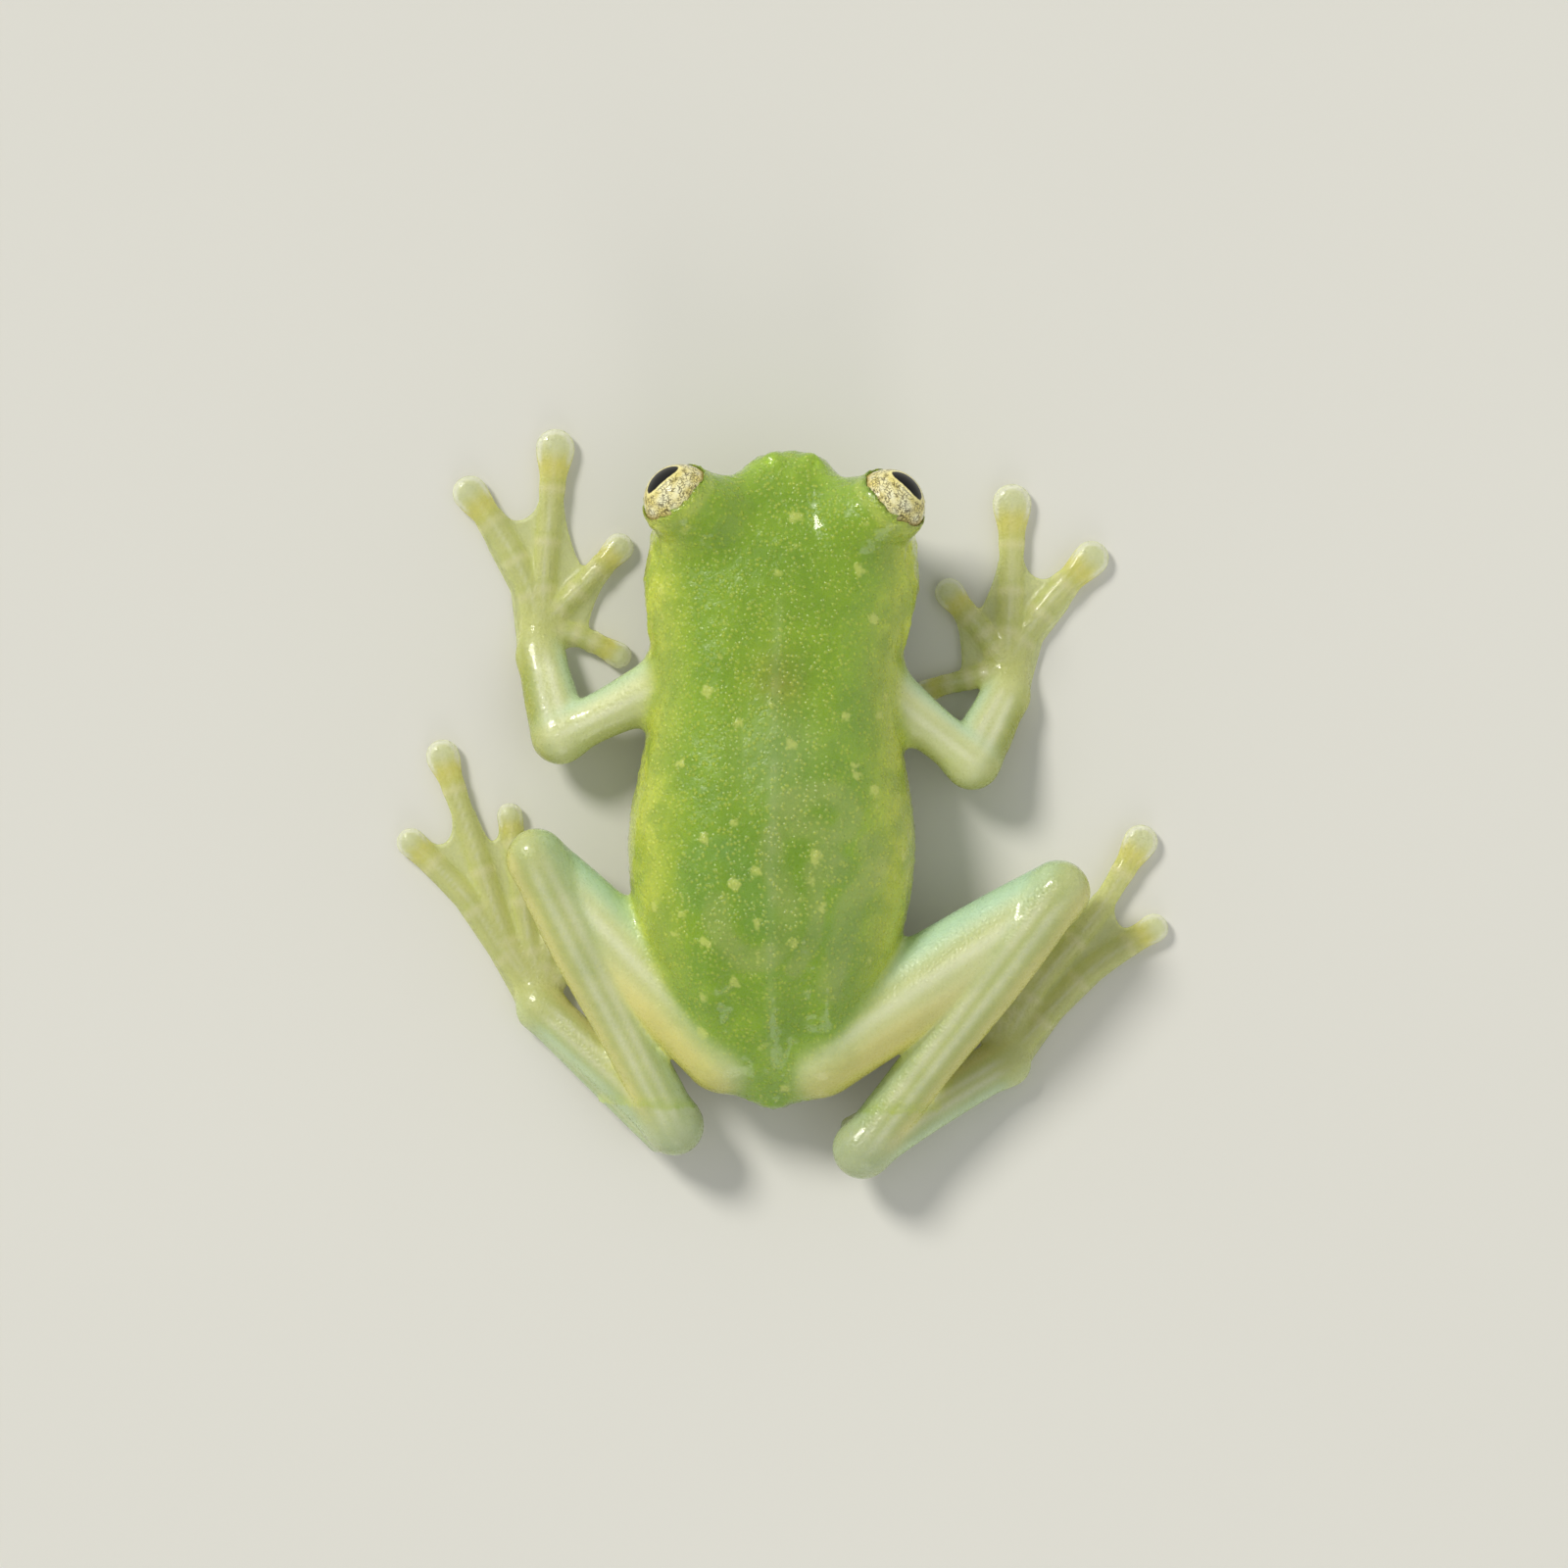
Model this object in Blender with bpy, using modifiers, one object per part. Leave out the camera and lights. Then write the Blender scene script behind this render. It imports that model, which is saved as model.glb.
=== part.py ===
"""A life-size glass frog, clinging flat with folded legs, as separate solids for a still museum model.

Frame: +X is the frog's left, +Y runs from the head to the vent, and +Z is up.
The origin is the middle of the belly's flat, on the surface that the frog clings to.
All sizes below are in millimetres, and MM turns them into metres.
"""

import math

import bpy
import bmesh
from mathutils import Matrix, Vector

MM = 0.001

# Clearance between neighbouring solids, and how finely they are faceted
GAP = 0.2
BODY_SIDES = 24
BODY_RING_STEP = 1.0
LIMB_SIDES = 12
LIMB_RINGS = 7
DIGIT_SIDES = 8
FLOOR = 0.0

# The body's lines, from the snout to the vent: place along the body, half width, top, underside, widest height
BODY_LINES = (
    (-16.37, 0.80, 3.70, 2.65, 3.20),
    (-16.10, 1.50, 4.10, 2.25, 3.15),
    (-15.50, 2.45, 4.50, 1.85, 3.05),
    (-14.70, 3.45, 4.85, 1.50, 2.95),
    (-13.60, 4.50, 5.25, 1.10, 2.85),
    (-12.30, 5.12, 5.60, 0.82, 2.75),
    (-11.00, 5.30, 5.85, 0.66, 2.70),
    (-9.80, 5.14, 6.00, 0.52, 2.70),
    (-8.70, 4.74, 6.05, 0.40, 2.75),
    (-7.40, 4.55, 6.12, 0.20, 2.75),
    (-6.00, 4.75, 6.28, -0.02, 2.70),
    (-4.30, 5.08, 6.46, -0.12, 2.60),
    (-2.30, 5.36, 6.62, -0.15, 2.55),
    (-0.60, 5.40, 6.68, -0.15, 2.55),
    (1.30, 5.15, 6.62, -0.12, 2.60),
    (3.00, 4.60, 6.30, -0.08, 2.65),
    (4.60, 3.90, 5.70, 0.00, 2.70),
    (6.10, 3.05, 4.90, 0.20, 2.65),
    (7.40, 2.10, 4.05, 0.62, 2.55),
    (8.20, 1.25, 3.40, 1.15, 2.40),
    (8.63, 0.55, 2.85, 1.70, 2.30),
)
SPINE_BOW = 0.22
NECK_Y = -9.15
FLANK_ROUNDNESS = 0.92
BACK_ROUNDNESS = 0.80
BELLY_ROUNDNESS = 0.62

# The eyes: globes that stand half out of raised orbits, and the low swellings of the nostrils
EYE_RADIUS = 1.40
EYE_CENTRE = (3.90, -14.30, 4.85)
EYE_SHIFT = 0.05
ORBIT_RADIUS = 1.75
ORBIT_CENTRE = (3.15, -13.80, 4.35)
NOSTRIL_RADIUS = 0.44
NOSTRIL_CENTRE = (0.98, -15.74, 3.82)
NOSTRIL_SHIFT = 0.22
BALL_RINGS = 9
BALL_SEGMENTS = 16

# Joint places of each side, in the plan of the photo, with heights of a flattened climbing frog
ARM_JOINTS = {
    "right": {"shoulder": (-3.30, -7.75, 2.75), "elbow": (-7.36, -4.80, 1.75), "wrist": (-8.62, -7.35, 0.66)},
    "left": {"shoulder": (3.75, -7.75, 2.75), "elbow": (8.42, -5.40, 1.75), "wrist": (9.28, -8.45, 0.66)},
}
LEG_JOINTS = {
    "right": {
        "hip": (-1.80, 6.40, 2.85),
        "knee": (-10.72, 0.12, 2.75),
        "heel": (-3.52, 10.12, 2.10),
        "ankle": (-8.98, 6.75, 0.68),
    },
    "left": {
        "hip": (1.90, 6.50, 2.85),
        "knee": (9.05, -0.62, 2.75),
        "heel": (3.70, 9.40, 2.10),
        "ankle": (8.95, 5.00, 0.68),
    },
}
SHANK_RISE = 0.62

# Limb profiles: share of the length, half width in plan, half height
UPPER_ARM = ((0.0, 1.35, 1.30), (0.35, 1.08, 1.08), (0.7, 0.92, 0.95), (1.0, 1.02, 0.98))
FOREARM = ((0.0, 1.02, 0.98), (0.35, 1.06, 0.95), (0.75, 0.96, 0.76), (1.0, 0.88, 0.62))
THIGH = ((0.0, 1.75, 1.80), (0.4, 1.74, 1.60), (0.75, 1.50, 1.38), (1.0, 1.22, 1.18))
SHANK = ((0.0, 1.12, 1.12), (0.3, 1.18, 1.14), (0.7, 1.02, 1.00), (1.0, 1.04, 0.98))
THIGH_FULLNESS = {"right": 1.0, "left": 0.92}
TARSUS = ((0.0, 1.04, 0.98), (0.4, 0.88, 0.80), (0.8, 0.84, 0.68), (1.0, 0.88, 0.60))

# Digits, as plan points from the root to the tip, with the half widths of the shaft and of the disc
FINGERS = {
    "right": (
        (((-8.30, -8.30), (-7.25, -7.95), (-6.15, -7.66), (-5.05, -7.17)), 0.36, 0.47),
        (((-8.50, -8.70), (-7.75, -9.75), (-6.90, -10.65), (-6.02, -11.68)), 0.41, 0.57),
        (((-8.62, -8.70), (-8.72, -10.30), (-8.74, -12.40), (-8.70, -15.50)), 0.47, 0.75),
        (((-8.76, -8.70), (-9.50, -9.95), (-10.45, -11.25), (-12.28, -13.20)), 0.50, 0.68),
    ),
    "left": (
        (((9.05, -9.45), (8.10, -9.32), (7.10, -8.95), (5.85, -8.30)), 0.38, 0.50),
        (((9.12, -9.75), (8.20, -10.70), (7.25, -11.72), (6.00, -13.10)), 0.42, 0.56),
        (((9.24, -9.75), (9.22, -11.50), (9.06, -13.90), (8.88, -17.20)), 0.47, 0.75),
        (((9.36, -9.75), (9.95, -11.35), (10.85, -12.95), (12.58, -15.18)), 0.50, 0.68),
    ),
}
TOES = {
    "right": (
        (((-8.60, 6.00), (-8.05, 5.30), (-7.50, 4.70), (-6.86, 4.00)), 0.29, 0.38),
        (((-8.66, 6.00), (-8.68, 4.70), (-8.62, 3.20), (-8.50, 1.85)), 0.30, 0.38),
        (((-8.78, 6.00), (-9.40, 4.20), (-10.20, 2.30), (-10.88, -0.10)), 0.35, 0.47),
        (((-8.95, 6.00), (-10.20, 3.70), (-12.15, 0.95), (-14.12, -2.55)), 0.43, 0.66),
        (((-9.15, 6.10), (-10.50, 4.45), (-12.20, 2.85), (-15.02, 1.16)), 0.43, 0.56),
    ),
    "left": (
        (((8.72, 4.30), (8.12, 3.75), (7.45, 3.10), (6.58, 2.22)), 0.30, 0.40),
        (((8.80, 4.30), (8.72, 3.10), (8.58, 1.60), (8.36, -0.05)), 0.32, 0.42),
        (((8.92, 4.30), (9.45, 2.50), (9.88, 0.30), (10.42, -2.75)), 0.37, 0.50),
        (((9.10, 4.30), (10.35, 2.45), (11.50, -0.60), (13.20, -5.10)), 0.43, 0.65),
        (((9.30, 4.30), (10.70, 2.60), (12.00, 0.80), (14.52, -1.52)), 0.43, 0.56),
    ),
}

# The deepest points of the webs' edges, between each digit and the next
HAND_WEBS = {
    "right": ((-6.91, -8.86), (-7.59, -10.64), (-9.80, -11.90)),
    "left": ((7.40, -10.10), (7.89, -12.08), (10.25, -13.65)),
}
FOOT_WEBS = {
    "right": ((-7.89, 4.11), (-9.31, 2.69), (-11.44, 0.92), (-13.28, 1.40)),
    "left": ((7.60, 2.42), (9.07, 0.65), (11.04, -1.30), (12.79, -1.19)),
}

DIGIT_ROOT_WIDTH = 0.50
DIGIT_ROOT_HEIGHT = 0.56
DIGIT_HEIGHT = 0.40
DISC_HEIGHT = 0.36
DISC_SPREAD = 1.15
DIGIT_LIFT = 0.30
DIGIT_SHARES = (0.0, 0.32, 0.58, 0.76, 0.88, 0.96, 1.0)
PAST_WEB = 0.22

# The palms and soles: a thin web, the ribs of the digits in it, and a pad that meets the limb
WEB_BOTTOM = 0.05
WEB_THICKNESS = 0.52
WEB_EDGE_STEPS = 4
OUTER_SHARES = (0.33, 0.66)
OUTER_MARGIN = 0.12
PLATE_VOXEL = 0.12
PLATE_FACES = 0.09

FLESH = (0.55, 0.72, 0.28, 1.0)
GREEN_BACK = (0.35, 0.60, 0.12, 1.0)
PALE_LIMB = (0.66, 0.78, 0.42, 1.0)
GOLD_EYE = (0.80, 0.74, 0.52, 1.0)


def clear_scene():
    """Removes whatever the file held, so that only the frog is left."""
    for old in list(bpy.data.objects):
        bpy.data.objects.remove(old)


def make_material(name, colour, roughness):
    material = bpy.data.materials.new(name)
    material.use_nodes = True
    shader = material.node_tree.nodes["Principled BSDF"]
    shader.inputs["Base Color"].default_value = colour
    shader.inputs["Roughness"].default_value = roughness
    shader.inputs["Metallic"].default_value = 0.0
    return material


def make_collection(name):
    collection = bpy.data.collections.new(name)
    bpy.context.scene.collection.children.link(collection)
    return collection


def smooth_between(rows, place):
    """Reads a table of rows by its first column, with a cubic that eases through every row."""
    last = len(rows) - 2
    i = max(0, min(last, sum(row[0] <= place for row in rows) - 1))
    before, here, there, after = (rows[max(0, min(last + 1, i + k))] for k in (-1, 0, 1, 2))
    span = there[0] - here[0]
    t = (place - here[0]) / span
    values = []
    for column in range(1, len(here)):
        slope_here = (there[column] - before[column]) / max(there[0] - before[0], 1e-6)
        slope_there = (after[column] - here[column]) / max(after[0] - here[0], 1e-6)
        values.append(
            (2 * t**3 - 3 * t**2 + 1) * here[column]
            + (t**3 - 2 * t**2 + t) * span * slope_here
            + (3 * t**2 - 2 * t**3) * there[column]
            + (t**3 - t**2) * span * slope_there
        )
    return values


def mesh_object(name, mesh, collection, material=None):
    made = bpy.data.objects.new(name, mesh)
    collection.objects.link(made)
    if material:
        mesh.materials.append(material)
    return made


def loft_mesh(name, rings):
    """Skins a list of rings, each a list of as many points in millimetres, and closes both ends."""
    shape = bmesh.new()
    rows = [[shape.verts.new(Vector(point) * MM) for point in ring] for ring in rings]
    sides = len(rows[0])
    for row, after in zip(rows, rows[1:]):
        for i in range(sides):
            j = (i + 1) % sides
            shape.faces.new((row[i], row[j], after[j], after[i]))
    shape.faces.new(rows[0])
    shape.faces.new(rows[-1])
    bmesh.ops.recalc_face_normals(shape, faces=shape.faces)
    bmesh.ops.triangulate(shape, faces=[f for f in shape.faces if len(f.verts) > 4])
    mesh = bpy.data.meshes.new(name)
    shape.to_mesh(mesh)
    shape.free()
    mesh.shade_smooth()
    return mesh


def signed_power(value, power):
    return math.copysign(abs(value) ** power, value)


def spine_x(y):
    """The head and chest lie a little to the frog's left of the line through the vent."""
    first, last = BODY_LINES[0][0], BODY_LINES[-1][0]
    return SPINE_BOW * math.cos(math.pi / 2 * (y - first) / (last - first))


def body_ring(y, clearance=0.0):
    """A section of the body: round over the back, full at the flanks and flat on the belly."""
    half_width, top, underside, widest = smooth_between(BODY_LINES, y)
    ring = []
    for i in range(BODY_SIDES):
        angle = 2 * math.pi * (i + 0.5) / BODY_SIDES
        x = (half_width + clearance) * signed_power(math.cos(angle), FLANK_ROUNDNESS)
        rise = math.sin(angle)
        if rise > 0:
            z = widest + (top + clearance - widest) * rise**BACK_ROUNDNESS
        else:
            z = widest - (widest - underside + clearance) * (-rise) ** BELLY_ROUNDNESS
        ring.append((spine_x(y) + x, y, max(z, FLOOR - clearance)))
    return ring


def body_mesh(name, start, end, clearance=0.0):
    """The body between two places along it. A clearance swells it, to cut its neighbours."""
    count = max(3, round((end - start) / BODY_RING_STEP))
    places = [start + (end - start) * i / count for i in range(count + 1)]
    rings = [body_ring(y, clearance) for y in places]
    if clearance:
        rings[0] = [(x, y - clearance, z) for x, y, z in rings[0]]
        rings[-1] = [(x, y + clearance, z) for x, y, z in rings[-1]]
    return loft_mesh(name, rings)


def limb_ring(centre, along, half_width, half_height, sides):
    """An elliptical section square to a limb, flattened where it meets the floor."""
    across = Vector((-along.y, along.x, 0)).normalized()
    up = along.cross(across).normalized()
    up = up if up.z > 0 else -up
    points = []
    for i in range(sides):
        angle = 2 * math.pi * i / sides
        point = centre + across * (half_width * math.cos(angle)) + up * (half_height * math.sin(angle))
        points.append((point.x, point.y, max(point.z, FLOOR)))
    return points


def limb_mesh(name, start, end, profile, fullness=1.0):
    """A straight segment with rounded ends, whose half width and half height follow its profile."""
    profile = [(share, width * fullness, height * fullness) for share, width, height in profile]
    along = (end - start).normalized()
    first, last = profile[0], profile[-1]
    rings = []
    for turn in (70, 40):
        reach, share = math.sin(math.radians(turn)), math.cos(math.radians(turn))
        centre = start - along * first[1] * reach
        rings.append(limb_ring(centre, along, first[1] * share, first[2] * share, LIMB_SIDES))
    for i in range(LIMB_RINGS):
        share = i / (LIMB_RINGS - 1)
        half_width, half_height = smooth_between(profile, share)
        rings.append(limb_ring(start.lerp(end, share), along, half_width, half_height, LIMB_SIDES))
    for turn in (40, 70):
        reach, share = math.sin(math.radians(turn)), math.cos(math.radians(turn))
        centre = end + along * last[1] * reach
        rings.append(limb_ring(centre, along, last[1] * share, last[2] * share, LIMB_SIDES))
    return loft_mesh(name, rings)


def clip(mesh, point, normal):
    """Cuts a closed mesh flat at a plane and keeps the side that the normal points away from."""
    shape = bmesh.new()
    shape.from_mesh(mesh)
    everything = shape.verts[:] + shape.edges[:] + shape.faces[:]
    cut = bmesh.ops.bisect_plane(
        shape,
        geom=everything,
        dist=1e-7,
        plane_co=Vector(point) * MM,
        plane_no=normal,
        clear_outer=True,
    )
    rim = [e for e in cut["geom_cut"] if isinstance(e, bmesh.types.BMEdge)]
    filled = bmesh.ops.edgenet_fill(shape, edges=rim)
    bmesh.ops.triangulate(shape, faces=filled["faces"])
    bmesh.ops.recalc_face_normals(shape, faces=shape.faces)
    shape.to_mesh(mesh)
    shape.free()


def part_at_fold(first, second, corner, first_far, second_far):
    """Parts two segments that meet at a corner, by a flat gap along the plane that halves the fold."""
    to_first = (first_far - corner).normalized()
    to_second = (second_far - corner).normalized()
    normal = (to_second - to_first).normalized()
    clip(first, corner - normal * GAP / 2, normal)
    clip(second, corner + normal * GAP / 2, -normal)


def end_flat(mesh, joint, before):
    """Ends a segment upright and square at its last joint, half a gap short of it."""
    along = Vector((joint.x - before.x, joint.y - before.y, 0)).normalized()
    clip(mesh, joint - along * GAP / 2, along)


def cut_by(obj, cutter):
    modifier = obj.modifiers.new("cut_by_" + cutter.name, "BOOLEAN")
    modifier.operation = "DIFFERENCE"
    modifier.object = cutter


def join_with(obj, other):
    modifier = obj.modifiers.new("join_with_" + other.name, "BOOLEAN")
    modifier.operation = "UNION"
    modifier.object = other


def make_helper(obj):
    obj.hide_render = True
    obj.display_type = "WIRE"


def digit_place(points, share):
    """A point along a digit, on a smooth curve through its plan points."""
    rows = [(i / (len(points) - 1), *point) for i, point in enumerate(points)]
    return Vector((*smooth_between(rows, share), 0.0))


def digit_direction(points, share):
    step = 0.02
    low, high = max(0.0, share - step), min(1.0, share + step)
    return (digit_place(points, high) - digit_place(points, low)).normalized()


def digit_length(points):
    return sum((Vector(b) - Vector(a)).length for a, b in zip(points, points[1:]))


def free_share(points, webs):
    """The share of a digit at which the farther of its two webs has let go."""
    steps = [i / 60 for i in range(61)]
    level = max(
        min(steps, key=lambda share: (digit_place(points, share).xy - Vector(web)).length) for web in webs
    )
    return level + PAST_WEB / digit_length(points)


def digit_size(digit, share, free):
    """Half width and half height: thick at the root, slim along the shaft, and wide at the disc."""
    points, shaft, disc = digit
    from_tip = (1 - share) * digit_length(points)
    root = min(1.0, max(0.0, 1 - share / free))
    flare = math.exp(-(((from_tip - disc) / (DISC_SPREAD * disc)) ** 2))
    width = shaft + (DIGIT_ROOT_WIDTH - shaft) * root + (disc - shaft) * flare
    height = DIGIT_HEIGHT + (DIGIT_ROOT_HEIGHT - DIGIT_HEIGHT) * root
    height += (DISC_HEIGHT - DIGIT_HEIGHT) * flare
    if from_tip < disc:
        rounding = math.sqrt(max(0.05, 1 - (1 - from_tip / disc) ** 2))
        width *= rounding
        height *= 0.5 + 0.5 * rounding
    return width, height


def digit_mesh(name, digit, start, end, free, shares):
    """A stretch of a finger or toe, with its rings at the given shares of the stretch."""
    rings = []
    for part in shares:
        share = start + (end - start) * part
        width, height = digit_size(digit, share, free)
        centre = digit_place(digit[0], share) + Vector((0, 0, DIGIT_LIFT))
        rings.append(limb_ring(centre, digit_direction(digit[0], share), width, height, DIGIT_SIDES))
    return loft_mesh(name, rings)


def web_edge(start, deepest, end):
    """Points of a parabola from one digit to the next, which passes through the web's deepest point."""
    control = deepest * 2 - (start + end) / 2
    points = []
    for i in range(1, WEB_EDGE_STEPS):
        t = i / WEB_EDGE_STEPS
        points.append(start * (1 - t) ** 2 + control * 2 * t * (1 - t) + end * t**2)
    return points


def plate_outline(base, digits, stops, webs):
    """A palm's or sole's outline: from the limb, out and round each digit in turn, and back again."""
    outline = [base[0]]
    for i, (digit, stop) in enumerate(zip(digits, stops)):
        end = digit_place(digit[0], stop)
        along = digit_direction(digit[0], stop)
        side = Vector((along.y, -along.x, 0)) * digit[1]
        side = side if (base[1] - base[0]).dot(side) > 0 else -side
        if i:
            outline += web_edge(outline[-1], Vector((*webs[i - 1], 0)), end - side)
        outline += [end - side, end + side]
    for share in reversed(OUTER_SHARES):
        if share < stop - 0.05:
            margin = side.normalized() * (digit[1] + OUTER_MARGIN)
            outline.append(digit_place(digit[0], share) + margin)
    return outline + [base[1]]


def sheet_mesh(name, outline, collection):
    """A flat sheet of the web's thickness, from a filled 2D curve."""
    curve = bpy.data.curves.new(name, "CURVE")
    curve.dimensions = "2D"
    curve.fill_mode = "BOTH"
    curve.extrude = WEB_THICKNESS / 2 * MM
    spline = curve.splines.new("POLY")
    spline.points.add(len(outline) - 1)
    for point, corner in zip(spline.points, outline):
        point.co = (corner.x * MM, corner.y * MM, 0.0, 1.0)
    spline.use_cyclic_u = True
    sheet = bpy.data.objects.new(name, curve)
    sheet.location.z = (WEB_BOTTOM + WEB_THICKNESS / 2) * MM
    collection.objects.link(sheet)
    bpy.context.view_layer.update()
    graph = bpy.context.evaluated_depsgraph_get()
    mesh = bpy.data.meshes.new_from_object(sheet.evaluated_get(graph))
    mesh.transform(sheet.matrix_world)
    bpy.data.objects.remove(sheet)
    return mesh


def build_extremity(side, label, digit_label, joint, before, profile, digits, webs, collection, material):
    """A palm or sole with its digits: sheet, ribs and pad made one solid, and each free digit its own."""
    joint, before = Vector(joint), Vector(before)
    along = Vector((joint.x - before.x, joint.y - before.y, 0)).normalized()
    start = joint + along * GAP / 2
    middle = Vector((*digits[2][0][0], DIGIT_LIFT)) + along * DIGIT_ROOT_WIDTH
    half_width, half_height = profile[-1][1:]
    across = Vector((along.y, -along.x, 0)) * half_width
    inwards = Vector((*digits[0][0][-1], 0)) - Vector((*digits[-1][0][-1], 0))
    across = across if across.dot(inwards) > 0 else -across
    flat_start = Vector((start.x, start.y, 0))
    frees = []
    for i, digit in enumerate(digits):
        frees.append(free_share(digit[0], webs[max(0, i - 1) : i + 1]))
    stops = [free - GAP / digit_length(digit[0]) for free, digit in zip(frees, digits)]
    outline = plate_outline((flat_start + across, flat_start - across), digits, stops, webs)
    name = label + "_" + side
    pieces = [sheet_mesh(name + "_sheet", outline, collection)]
    pad_rings = []
    for i in range(4):
        share = i / 3
        width = half_width + (DIGIT_ROOT_WIDTH - half_width) * share
        height = half_height + (DIGIT_ROOT_HEIGHT - half_height) * share
        pad_rings.append(limb_ring(start.lerp(middle, share), along, width, height, LIMB_SIDES))
    pieces.append(loft_mesh(name + "_pad", pad_rings))
    for number, (digit, stop, free) in enumerate(zip(digits, stops, frees), 1):
        shares = [i / 6 for i in range(7)]
        pieces.append(digit_mesh(f"{name}_rib_{number}", digit, 0.0, stop, free, shares))
        own = f"{digit_label}_{number}_{side}"
        mesh_object(own, digit_mesh(own, digit, free, 1.0, free, DIGIT_SHARES), collection, material)
    whole = bmesh.new()
    for piece in pieces:
        whole.from_mesh(piece)
        bpy.data.meshes.remove(piece)
    bmesh.ops.remove_doubles(whole, verts=whole.verts, dist=1e-7)
    mesh = bpy.data.meshes.new(name)
    whole.to_mesh(mesh)
    whole.free()
    made = mesh_object(name, mesh, collection, material)
    remesh = made.modifiers.new("one_solid", "REMESH")
    remesh.mode = "VOXEL"
    remesh.voxel_size = PLATE_VOXEL * MM
    fewer = made.modifiers.new("fewer_faces", "DECIMATE")
    fewer.ratio = PLATE_FACES
    settle(made)


def settle(obj):
    """Turns an object's evaluated shape into its own mesh, with its underside flat on the floor."""
    bpy.context.view_layer.update()
    graph = bpy.context.evaluated_depsgraph_get()
    mesh = bpy.data.meshes.new_from_object(obj.evaluated_get(graph))
    obj.modifiers.clear()
    obj.data = mesh
    for vertex in mesh.vertices:
        vertex.co.z = FLOOR if vertex.co.z < 0.4 * PLATE_VOXEL * MM else vertex.co.z
    mesh.shade_smooth()


def build_head_and_trunk(collection, cutters, back, gold):
    """The head with its orbits, the trunk, and the two eye globes in their sockets."""
    snout, vent = BODY_LINES[0][0], BODY_LINES[-1][0]
    head = mesh_object("head", body_mesh("head", snout, NECK_Y - GAP / 2), collection, back)
    mesh_object("trunk", body_mesh("trunk", NECK_Y + GAP / 2, vent), collection, back)
    for side, sign in (("right", -1), ("left", 1)):
        orbit = ball("orbit_" + side, ORBIT_CENTRE, ORBIT_RADIUS, sign, EYE_SHIFT, cutters)
        nostril = ball("nostril_" + side, NOSTRIL_CENTRE, NOSTRIL_RADIUS, sign, NOSTRIL_SHIFT, cutters)
        for swelling in (orbit, nostril):
            make_helper(swelling)
            join_with(head, swelling)
    for side, sign in (("right", -1), ("left", 1)):
        ball("eye_" + side, EYE_CENTRE, EYE_RADIUS, sign, EYE_SHIFT, collection, gold)
        socket = ball("socket_" + side, EYE_CENTRE, EYE_RADIUS + GAP, sign, EYE_SHIFT, cutters)
        make_helper(socket)
        cut_by(head, socket)
    swollen = mesh_object("swollen_body", body_mesh("swollen_body", snout, vent, GAP), cutters)
    make_helper(swollen)
    return swollen


def ball(name, centre, radius, sign, shift, collection, material=None):
    """A sphere on one side of the head, its pole turned outwards like an eye's pupil."""
    shape = bmesh.new()
    place = Vector((sign * centre[0] + shift, centre[1], centre[2])) * MM
    outwards = Vector((sign, -1.0, 0.35)).to_track_quat("Z", "Y").to_matrix().to_4x4()
    bmesh.ops.create_uvsphere(
        shape,
        u_segments=BALL_SEGMENTS,
        v_segments=BALL_RINGS,
        radius=radius * MM,
        matrix=Matrix.Translation(place) @ outwards,
    )
    mesh = bpy.data.meshes.new(name)
    shape.to_mesh(mesh)
    shape.free()
    mesh.shade_smooth()
    return mesh_object(name, mesh, collection, material)


def build_arm(side, collection, swollen, limb):
    """Upper arm, forearm, palm and four fingers of one side."""
    shoulder, elbow, wrist = (Vector(ARM_JOINTS[side][k]) for k in ("shoulder", "elbow", "wrist"))
    upper = limb_mesh("upper_arm_" + side, shoulder, elbow, UPPER_ARM)
    fore = limb_mesh("forearm_" + side, elbow, wrist, FOREARM)
    part_at_fold(upper, fore, elbow, shoulder, wrist)
    end_flat(fore, wrist, elbow)
    cut_by(mesh_object("upper_arm_" + side, upper, collection, limb), swollen)
    mesh_object("forearm_" + side, fore, collection, limb)
    digits, webs = FINGERS[side], HAND_WEBS[side]
    build_extremity(side, "hand", "finger", wrist, elbow, FOREARM, digits, webs, collection, limb)


def build_leg(side, collection, swollen, limb):
    """Thigh, shank, tarsus, sole and five toes of one side, folded as in a resting climber."""
    hip, knee, heel, ankle = (Vector(LEG_JOINTS[side][k]) for k in ("hip", "knee", "heel", "ankle"))
    shank_knee = knee + Vector((0, 0, SHANK_RISE))
    thigh = limb_mesh("thigh_" + side, hip, knee, THIGH, THIGH_FULLNESS[side])
    shank = limb_mesh("shank_" + side, shank_knee, heel, SHANK)
    tarsus = limb_mesh("tarsus_" + side, heel, ankle, TARSUS)
    part_at_fold(thigh, shank, (knee + shank_knee) / 2, hip, heel)
    part_at_fold(shank, tarsus, heel, shank_knee, ankle)
    end_flat(tarsus, ankle, heel)
    cut_by(mesh_object("thigh_" + side, thigh, collection, limb), swollen)
    mesh_object("shank_" + side, shank, collection, limb)
    mesh_object("tarsus_" + side, tarsus, collection, limb)
    digits, webs = TOES[side], FOOT_WEBS[side]
    build_extremity(side, "foot", "toe", ankle, heel, TARSUS, digits, webs, collection, limb)


def main():
    clear_scene()
    frog = make_collection("glass_frog")
    cutters = make_collection("cutters")
    back = make_material("green_back", GREEN_BACK, 0.45)
    limb = make_material("pale_limb", PALE_LIMB, 0.35)
    gold = make_material("gold_eye", GOLD_EYE, 0.10)
    swollen = build_head_and_trunk(frog, cutters, back, gold)
    for side in ("right", "left"):
        build_arm(side, frog, swollen, limb)
        build_leg(side, frog, swollen, limb)


main()
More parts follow.
